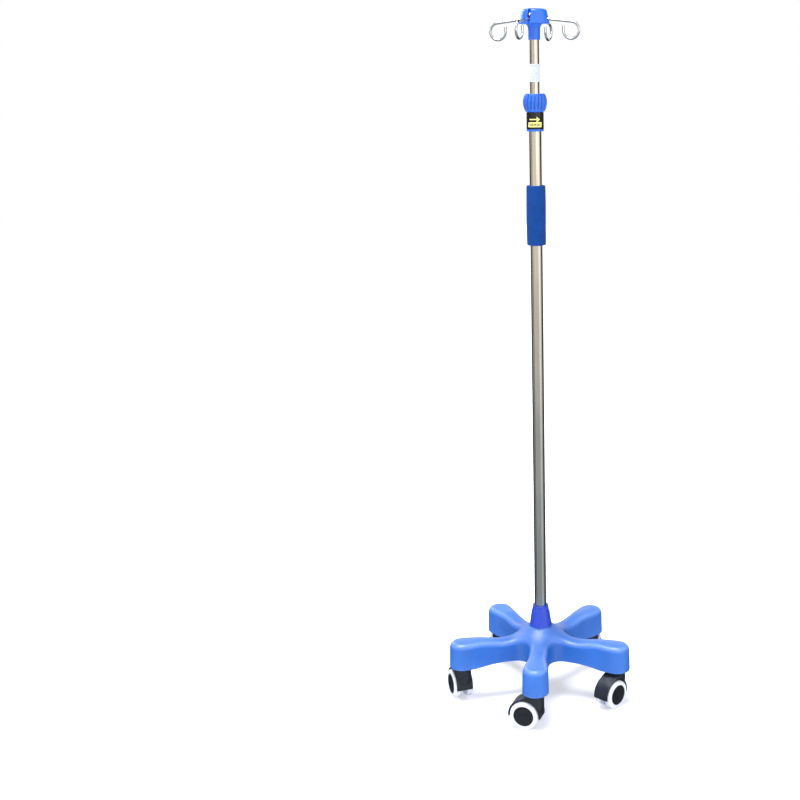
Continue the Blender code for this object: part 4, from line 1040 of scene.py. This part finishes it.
def head_solid(head):
    """The head before its slots: a turned section pressed towards a square with round corners.

    The radius is multiplied by (|cos|^n + |sin|^n) ^ (-1/n), which fades in outside the flat land.
    """
    top = high("head_body").z
    neck_foot = low("head_body").z
    foot = neck_foot + head.neck_height
    bore = bore_over("upper_tube")
    neck = bore + head.neck_wall
    blind = high("upper_tube").z + GAP
    land = 12 * MM
    profile = rounded([
        (0, top, 0), (land, top, 4 * MM), (19.4 * MM, top - 1.0 * MM, 3 * MM),
        (23 * MM, top - 3.4 * MM, 3.4 * MM), (24.2 * MM, top - 8 * MM, 3 * MM),
        (28.2 * MM, foot + 3 * MM, 1.5 * MM), (28.7 * MM, foot + 1.6 * MM, 0.7 * MM),
        (28.3 * MM, foot, 0.8 * MM), (neck + 5 * MM, foot, 2 * MM),
        (neck + 1.1 * MM, foot - 4 * MM, 3.5 * MM), (neck, foot - 10 * MM, 4 * MM),
        (neck, neck_foot, 0.8 * MM), (bore, neck_foot, 0.3 * MM),
        (bore, blind, 0), (0, blind, 0)], steps=8)
    points = turned_points(profile, 160, closed=False)
    radius = np.linalg.norm(points[..., :2], axis=-1)
    angle = np.arctan2(points[..., 1], points[..., 0]) - np.pi / 4
    power = head.squareness
    square = (np.abs(np.cos(angle)) ** power + np.abs(np.sin(angle)) ** power) ** (-1 / power)
    upper = smoothstep((points[..., 2] - foot + 3 * MM) / (3 * MM))
    outer = smoothstep((radius - land) / (6 * MM))
    points[..., :2] *= (1 + (square - 1) * upper * outer)[..., None]
    return placed(grid(points), Matrix.Rotation(hook_heading(HOOKS[0]), 4, 'Z'))


def slot_cutter(head, heading, foot, top):
    """A slot's space: a straight channel with a round inner end."""
    half = head.slot_half_width
    inner = head.core_radius + half
    end = arc((inner, 0), half, 90, 270, 17)
    outline = np.concatenate([[(60 * MM, half)], end, [(60 * MM, -half)]])
    ring = np.stack([outline[::-1, 0], outline[::-1, 1], np.zeros(len(outline))], -1)
    rows = np.stack([ring + (0, 0, z) for z in (top + 5 * MM, foot + head.slot_floor)])
    return placed(grid(capped(rows[:, ::-1])), Matrix.Rotation(heading, 4, 'Z'))


def build_head(head, plastic):
    foot = low("head_body").z + head.neck_height
    top = high("head_body").z
    slots = [slot_cutter(head, hook_heading(name), foot, top) for name in HOOKS]
    mesh = carved("hook_head", head_solid(head), [], slots, 0.5 * MM, 6)
    finish_piece("hook_head", mesh, plastic, "mast", ["head_body"], sharp=180)


def hook_path(head):
    """The bent wire as (outward, up) from its pin: an eye, a straight arm, a round loop and a tail."""
    eye_radius = head.pin_radius + head.wire_radius + 0.4 * MM
    down = np.array((-math.sin(head.droop), -math.cos(head.droop)))
    along = np.array((math.cos(head.droop), -math.sin(head.droop)))
    droop = math.degrees(head.droop)
    eye = arc((0, 0), eye_radius, -90 - droop - 235, -90 - droop, 44)
    bend = down * eye_radius + along * head.arm
    centre = bend + down * head.loop_radius
    arm = eye[-1] + (bend - eye[-1]) * np.linspace(0, 1, 26)[1:-1, None]
    loop = arc(centre, head.loop_radius, 90 - droop, -180, 92)
    rise = np.linspace(0, head.tail, 8)[1:]
    tail = centre - (head.loop_radius, 0) + np.outer(rise, (0, 1))
    return np.concatenate([eye, arm, loop, tail])


def build_hooks(head):
    steel = wire_steel(head)
    path = hook_path(head)
    for name in HOOKS:
        pivot = joint_place(f"{name}_fold")
        outward = np.array((*pivot.xy.normalized(), 0))
        points = np.array(pivot) + path[:, :1] * outward + path[:, 1:] * np.array((0, 0, 1))
        side = np.cross(outward, (0, 0, 1))
        mesh = new_mesh(f"wire_{name}", [swept(points, head.wire_radius, side)])
        finish_piece(f"wire_{name}", mesh, steel, name, [name], sharp=180)


# --- Casters -------------------------------------------------------------------------------

def hood_side(s, crown):
    """The hood's side view round the axle: fender arcs, a sloping shoulder and the axle's eye."""
    axle = (-s.trail, s.wheel_radius)
    outer = s.wheel_radius + s.fender_gap + s.fender_wall
    front = arc(axle, outer, -8, 52, 26)
    rear = arc(axle, outer, 118, 188, 30)
    eye = arc(axle, 7.8 * MM, 215, 325, 14)
    shoulder = crown - 2 * MM
    saddle = rounded([(*front[-1], 0), (4 * MM, shoulder, 6 * MM), (-15 * MM, shoulder, 12 * MM),
                      (*rear[0], 0)], 8)
    return np.concatenate([front, saddle[8:-8], rear, eye])


def hood_mesh(s):
    """The hood in its own frame: fenders over both wheels, a web between them and a cupped boss."""
    crown = high("caster_front_hood").z
    axle_height = s.wheel_radius
    turn_down = Matrix.Translation((-s.trail, 0, axle_height)) @ Matrix.Rotation(math.pi / 2, 4, 'X')
    well = s.wheel_radius + s.fender_gap
    half = s.hood_half_width
    clear, blind = crown + 2 * MM, crown - 25.5 * MM
    boss = rounded([(0, crown, 0), (half, crown, 1 * MM), (half, axle_height + 13 * MM, 3 * MM),
                    (half - 5 * MM, axle_height + 3 * MM, 2 * MM), (0, axle_height + 3 * MM, 0)])
    cup = rounded([(0, clear, 0), (half - 3 * MM, clear, 0),
                   (half - 3.4 * MM, crown - 2.5 * MM, 1 * MM), (0, crown - 2.5 * MM, 0)])
    bore = s.stem_radius + GAP
    hole = [(0, clear), (bore, clear), (bore, blind), (0, blind)]
    removed = [turned(cup, 72, closed=False), turned(hole, 36, closed=False)]
    for start, end in ((s.web_half_width, 30 * MM), (-30 * MM, -s.web_half_width)):
        space = [(0, end), (well, end), (well, start), (0, start)]
        removed.append(placed(turned(space, 96, closed=False), turn_down))
    side = plate(hood_side(s, crown), (-s.trail, axle_height), half)
    return carved("hood", side, [turned(boss, 72, closed=False)], removed, 0.62 * MM, 7)


def stem_profile(s):
    """The stem: a shank with a groove near its top, a flange under the leg and a rounded foot."""
    bottom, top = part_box("caster_front_stem")
    crown = high("caster_front_hood").z
    flange_top = low("base_shell").z + SOCKET_RECESS - GAP
    flange_foot = crown - 2 * MM
    flange = 9 * MM
    groove = top.z - 8 * MM
    shank = s.stem_radius
    grooved = shank - 0.5 * MM
    return rounded([
        (0, top.z, 0), (shank, top.z, 1.2 * MM), (shank, groove + 1 * MM, 0.3 * MM),
        (grooved, groove + 0.6 * MM, 0.2 * MM), (grooved, groove - 1.4 * MM, 0.2 * MM),
        (shank, groove - 1.8 * MM, 0.3 * MM), (shank, flange_top, 0), (flange, flange_top, 0.4 * MM),
        (flange, flange_foot, 0.6 * MM), (shank, flange_foot, 0), (shank, bottom.z, 1 * MM),
        (0, bottom.z, 0)])


def wheel_profiles(s):
    """Sections of the disc and of the tyre, and how much of the tyre's section rolls on the floor.

    The wheel lies on its inner face.
    """
    wide, seat = s.wheel_width, s.tyre_seat - GAP
    flange = s.tyre_seat + 1.2 * MM
    bore = 3.5 * MM
    blind = wide - 4 * MM
    disc = rounded([
        (0, wide - 1.5 * MM, 0), (4.2 * MM, wide - 1.5 * MM, 0.5 * MM), (5 * MM, wide - 1.05 * MM, 0.4 * MM),
        (0.84 * flange, wide - 1.0 * MM, 1 * MM), (0.88 * flange, wide - 0.7 * MM, 0.4 * MM),
        (flange - 0.5 * MM, wide - 0.4 * MM, 0.8 * MM), (flange, wide - 0.8 * MM, 0.3 * MM),
        (seat, wide - 1 * MM, 0.1 * MM), (seat, 0.5 * MM, 0.4 * MM),
        (bore, 0.5 * MM, 0.2 * MM), (bore, blind, 0), (0, blind, 0)])
    outer = s.wheel_radius
    tyre = rounded([
        (s.tyre_seat, wide - 1.2 * MM, 0), (flange + 0.3 * MM, wide - 1.2 * MM, 0.2 * MM),
        (flange + 0.5 * MM, wide, 0.4 * MM),
        (outer - s.chamfer, wide - 0.15 * MM, 0.9 * MM), (outer - 0.5 * MM, wide - s.chamfer, 1.6 * MM),
        (outer, wide * 0.5, 3 * MM), (outer - 0.35 * MM, 0, 1.4 * MM), (s.tyre_seat, 0, 0.3 * MM)],
        steps=8, closed=True)
    rolled = smoothstep((tyre[:, 0] - outer + 1.7 * MM) / (1.2 * MM))
    return disc, tyre, rolled


def wheel_place(caster, side):
    """Carries a wheel from its own frame to its caster, with its outer face along the axle."""
    centre = joint_place(f"caster_{caster}_roll_{side}")
    bottom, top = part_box(f"caster_{caster}_tyre_{side}")
    axle = Vector(JOINTS[f"caster_{caster}_roll_{side}"]["axis"])
    if axle.dot((bottom + top) / 2 - centre) < 0:
        axle.negate()
    turn = axle.to_track_quat('Z', 'Y').to_matrix().to_4x4()
    return Matrix.Translation(centre) @ turn


def hood_place(caster, trail):
    """Carries a hood from its own frame, where the wheels are at -x, to its caster."""
    stem = joint_place(f"caster_{caster}_swivel")
    wheels = joint_place(f"caster_{caster}_roll_a") + joint_place(f"caster_{caster}_roll_b")
    back = wheels.xy / 2 - stem.xy
    if abs(back.length - trail) > 1 * MM:
        raise RuntimeError(f"caster {caster} trails by {back.length:.4f} m")
    return Matrix.Translation((stem.x, stem.y, 0)) @ Matrix.Rotation(math.atan2(-back.y, -back.x), 4, 'Z')


def build_casters(s):
    hood_black = black_plastic("hood_plastic", s.hood_plastic, 900, 0.4)
    disc_black = black_plastic("disc_plastic", s.core_plastic, 1400, 0.34)
    rubber = tyre_rubber(s)
    zinc = zinc_plate()
    hood = hood_mesh(s)
    disc, tyre, rolled = wheel_profiles(s)
    stem = new_mesh("stem", [turned(stem_profile(s), 64, closed=False)])
    wheel_disc = new_mesh("disc", [turned(disc, 96, closed=False)])
    # Where the tyre rolls, for its painted shade and floor dirt.
    tread = np.repeat(np.append(rolled, rolled[:1]), 120)
    wheel_tyre = new_mesh("tyre", [turned(tyre, 120)], {"tread": tread})
    for caster in CASTERS:
        name = f"caster_{caster}"
        at_stem = joint_place(f"{name}_swivel")
        mesh = moved_copy(stem, f"{name}_shank", Matrix.Translation((at_stem.x, at_stem.y, 0)))
        finish_piece(f"{name}_shank", mesh, zinc, "stand", [f"{name}_stem"])
        mesh = moved_copy(hood, f"{name}_cover", hood_place(caster, s.trail))
        finish_piece(f"{name}_cover", mesh, hood_black, name, [f"{name}_hood"], sharp=180)
        for side in "ab":
            place = wheel_place(caster, side)
            body = f"{name}_wheel_{side}"
            mesh = moved_copy(wheel_disc, f"{name}_disc_{side}", place)
            finish_piece(f"{name}_disc_{side}", mesh, disc_black, body,
                         [f"{name}_core_{side}"])
            mesh = moved_copy(wheel_tyre, f"{name}_tread_{side}", place)
            finish_piece(f"{name}_tread_{side}", mesh, rubber, body, [f"{name}_tyre_{side}"])


# --- Hardware that keeps its frame nodes ---------------------------------------------------

def refinish(node, material):
    mesh = frame["nodes"][node].data
    mesh.materials.clear()
    mesh.materials.append(material)


def build_hardware():
    zinc = zinc_plate()
    white = acetal()
    for node in frame["nodes"]:
        if node in ("base_bolt", "base_washer") or node.startswith("hook_pin") or node.endswith("_axle"):
            refinish(node, zinc)
        if node in ("tube_plug", "mast_bush", "collet"):
            refinish(node, white)


# --- Stage ---------------------------------------------------------------------------------

def build_floor(s):
    """One flat pale sheet, which glows more the further it lies from the stand."""
    reach = 9.0
    side = np.linspace(-reach, reach, 3)
    flat_x, flat_y = np.meshgrid(side, side, indexing="ij")
    points = np.stack([flat_x, flat_y, np.zeros_like(flat_x)], axis=-1)
    mesh = new_mesh("floor", [grid(points, wrap=False)])
    material, g = new_graph("floor_paint")
    cloud = g.noise(3, 3)
    x, y, _ = g.axes()
    away = (x * x + y * y).math('SQRT').ramp(0.25, 1.6)
    base = g.mix(cloud.ramp(0.3, 0.7), tinted(s.floor, 0.985), s.floor)
    glow = g.mix(away, (0.32, 0.32, 0.32), (1.0, 1.0, 1.0))
    g.principled(base_color=base, roughness=0.6 + 0.1 * cloud, specular_ior_level=0.2, emission_color=glow,
                 emission_strength=1.0)
    mesh.materials.append(material)
    floor = bpy.data.objects.new("floor", mesh)
    floor.visible_glossy = False
    bpy.context.scene.collection.objects.link(floor)


def build_world():
    """A room for the steel to mirror.

    The front half is pale and dims below eye level, with a bright strip to the right and a dark
    one to the left. The rear half is dark, for the tubes' edges, but for a pale panel straight
    behind. The camera itself sees plain white.
    """
    world = bpy.data.worlds.new("studio")
    bpy.context.scene.world = world
    g = Graph(world)
    x, y, z = g.split(g.node("ShaderNodeTexCoord", output="Generated"))
    turn = x.math('ARCTAN2', -y)
    high_up = z.ramp(-0.36, 0.0)
    ahead = g.mix(high_up, (0.36, 0.42, 0.48), (1.0, 0.94, 0.85))
    ahead = g.mix(turn.band(0.95, 0.2, 0.1) * (0.2 + 0.8 * high_up), ahead, (1.7, 1.68, 1.6))
    ahead = g.mix(turn.band(-1.24, 0.13, 0.06) * 0.8, ahead, (0.05, 0.05, 0.06))
    room = g.mix(z.ramp(0.3, 0.75), ahead, (1.0, 1.03, 1.1))
    back = abs(turn).ramp(2.3, 2.6) * (1 - abs(z).ramp(0.35, 0.5))
    room = g.mix(y.ramp(-0.12, 0.2) * (1 - back), room, (0.04, 0.042, 0.05))
    seen = g.node("ShaderNodeLightPath", output="Is Camera Ray")
    final = g.mix(seen, room, (1.0, 1.0, 1.0))
    background = g.node("ShaderNodeBackground", None, {"Color": final, "Strength": 1.0})
    g.node("ShaderNodeOutputWorld", None, {"Surface": background})


def build_light(name, place, target, size, power):
    """A square soft light that looks at a point."""
    data = bpy.data.lights.new(name, 'AREA')
    data.shape = 'SQUARE'
    data.size = size
    data.energy = power
    light = bpy.data.objects.new(name, data)
    light.location = place
    light.rotation_euler = (Vector(target) - Vector(place)).to_track_quat('-Z', 'Y').to_euler()
    bpy.context.scene.collection.objects.link(light)


def build_camera(s):
    """The camera stands before the pole, a little to the right, pitched down, with its lens shifted."""
    data = bpy.data.cameras.new("camera")
    data.sensor_width = 36
    data.lens = s.lens
    data.shift_x, data.shift_y = s.shift
    camera = bpy.data.objects.new("camera", data)
    heading = Matrix.Rotation(s.side, 4, 'Z')
    stand = Matrix.Translation((0, -s.distance, s.height))
    tilt = Matrix.Rotation(math.pi / 2 - s.pitch, 4, 'X')
    camera.matrix_world = heading @ stand @ tilt @ Matrix.Rotation(-s.roll, 4, 'Z')
    bpy.context.scene.collection.objects.link(camera)
    bpy.context.scene.camera = camera


# --- Add-on --------------------------------------------------------------------------------

class StageOperator(bpy.types.Operator):
    """Add the floor, the soft studio light and the camera"""
    bl_idname = "drip_stand.stage"
    bl_label = "Stage"

    def execute(self, context):
        settings = context.scene.drip_stage
        build_floor(settings)
        build_world()
        build_light("overhead", (-0.5, -0.3, 3.4), (0, 0, 0.2), 1.8, 130)
        build_light("front", (1.6, -3.4, 1.9), (0, 0, 0.6), 1.6, 12)
        build_light("rim", (-1.8, 2.4, 2.2), (0, 0, 0.7), 1.4, 22)
        build_camera(settings)
        context.scene.view_settings.view_transform = 'Standard'
        return {'FINISHED'}


class BaseOperator(bpy.types.Operator):
    """Build the five-leg moulding and the cone round the pole"""
    bl_idname = "drip_stand.base"
    bl_label = "Base"

    def execute(self, context):
        build_base(context.scene.drip_base)
        build_cone(context.scene.drip_pole)
        return {'FINISHED'}


class PoleOperator(bpy.types.Operator):
    """Build the two tubes and the foam grip"""
    bl_idname = "drip_stand.pole"
    bl_label = "Pole and grip"

    def execute(self, context):
        build_tubes(context.scene.drip_pole)
        build_grip(context.scene.drip_pole)
        return {'FINISHED'}


class LabelOperator(bpy.types.Operator):
    """Wrap the paper label and the lock's sticker"""
    bl_idname = "drip_stand.labels"
    bl_label = "Labels"

    def execute(self, context):
        build_labels(context.scene.drip_pole, context.scene.drip_lock)
        return {'FINISHED'}


class LockOperator(bpy.types.Operator):
    """Build the collar, the twist knob and the slotted head, which share one plastic"""
    bl_idname = "drip_stand.lock"
    bl_label = "Collar, knob and head"

    def execute(self, context):
        lock = context.scene.drip_lock
        plastic = moulded_plastic("bright_plastic", lock.plastic, 0.3)
        build_collar(plastic)
        build_knob(lock, plastic)
        build_head(context.scene.drip_head, plastic)
        return {'FINISHED'}


class HookOperator(bpy.types.Operator):
    """Bend the four folding hooks"""
    bl_idname = "drip_stand.hooks"
    bl_label = "Hooks"

    def execute(self, context):
        build_hooks(context.scene.drip_head)
        return {'FINISHED'}


class CasterOperator(bpy.types.Operator):
    """Build the five twin-wheel casters"""
    bl_idname = "drip_stand.casters"
    bl_label = "Casters"

    def execute(self, context):
        build_casters(context.scene.drip_caster)
        return {'FINISHED'}


class HardwareOperator(bpy.types.Operator):
    """Give the bolts, pins, axles and bushes that keep their frame shape their finish"""
    bl_idname = "drip_stand.hardware"
    bl_label = "Hardware"

    def execute(self, context):
        build_hardware()
        return {'FINISHED'}


OPERATORS = (StageOperator, BaseOperator, PoleOperator, LabelOperator, LockOperator, HookOperator,
             CasterOperator, HardwareOperator)
SETTINGS = {
    "drip_base": BaseSettings,
    "drip_pole": PoleSettings,
    "drip_lock": LockSettings,
    "drip_head": HeadSettings,
    "drip_caster": CasterSettings,
    "drip_stage": StageSettings,
}


class DripStandPanel(bpy.types.Panel):
    """Lists the steps that build the stand, with their sizes and colours"""
    bl_idname = "VIEW3D_PT_drip_stand"
    bl_label = "Drip Stand"
    bl_space_type = 'VIEW_3D'
    bl_region_type = 'UI'
    bl_category = "Drip Stand"

    def draw(self, context):
        for operator in OPERATORS:
            self.layout.operator(operator.bl_idname)
        for name, group in SETTINGS.items():
            column = self.layout.column(heading=group.__name__)
            settings = getattr(context.scene, name)
            for label in group.__annotations__:
                column.prop(settings, label)


def register():
    for group in SETTINGS.values():
        bpy.utils.register_class(group)
    for name, group in SETTINGS.items():
        setattr(bpy.types.Scene, name, PointerProperty(type=group))
    for operator in OPERATORS:
        bpy.utils.register_class(operator)
    bpy.utils.register_class(DripStandPanel)


def unregister():
    bpy.utils.unregister_class(DripStandPanel)
    for operator in reversed(OPERATORS):
        bpy.utils.unregister_class(operator)
    for name, group in SETTINGS.items():
        delattr(bpy.types.Scene, name)
        bpy.utils.unregister_class(group)


def main():
    register()
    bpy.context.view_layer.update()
    bpy.ops.drip_stand.stage()
    bpy.ops.drip_stand.base()
    bpy.ops.drip_stand.pole()
    bpy.ops.drip_stand.labels()
    bpy.ops.drip_stand.lock()
    bpy.ops.drip_stand.hooks()
    bpy.ops.drip_stand.casters()
    bpy.ops.drip_stand.hardware()


if __name__ == "__main__":
    main()
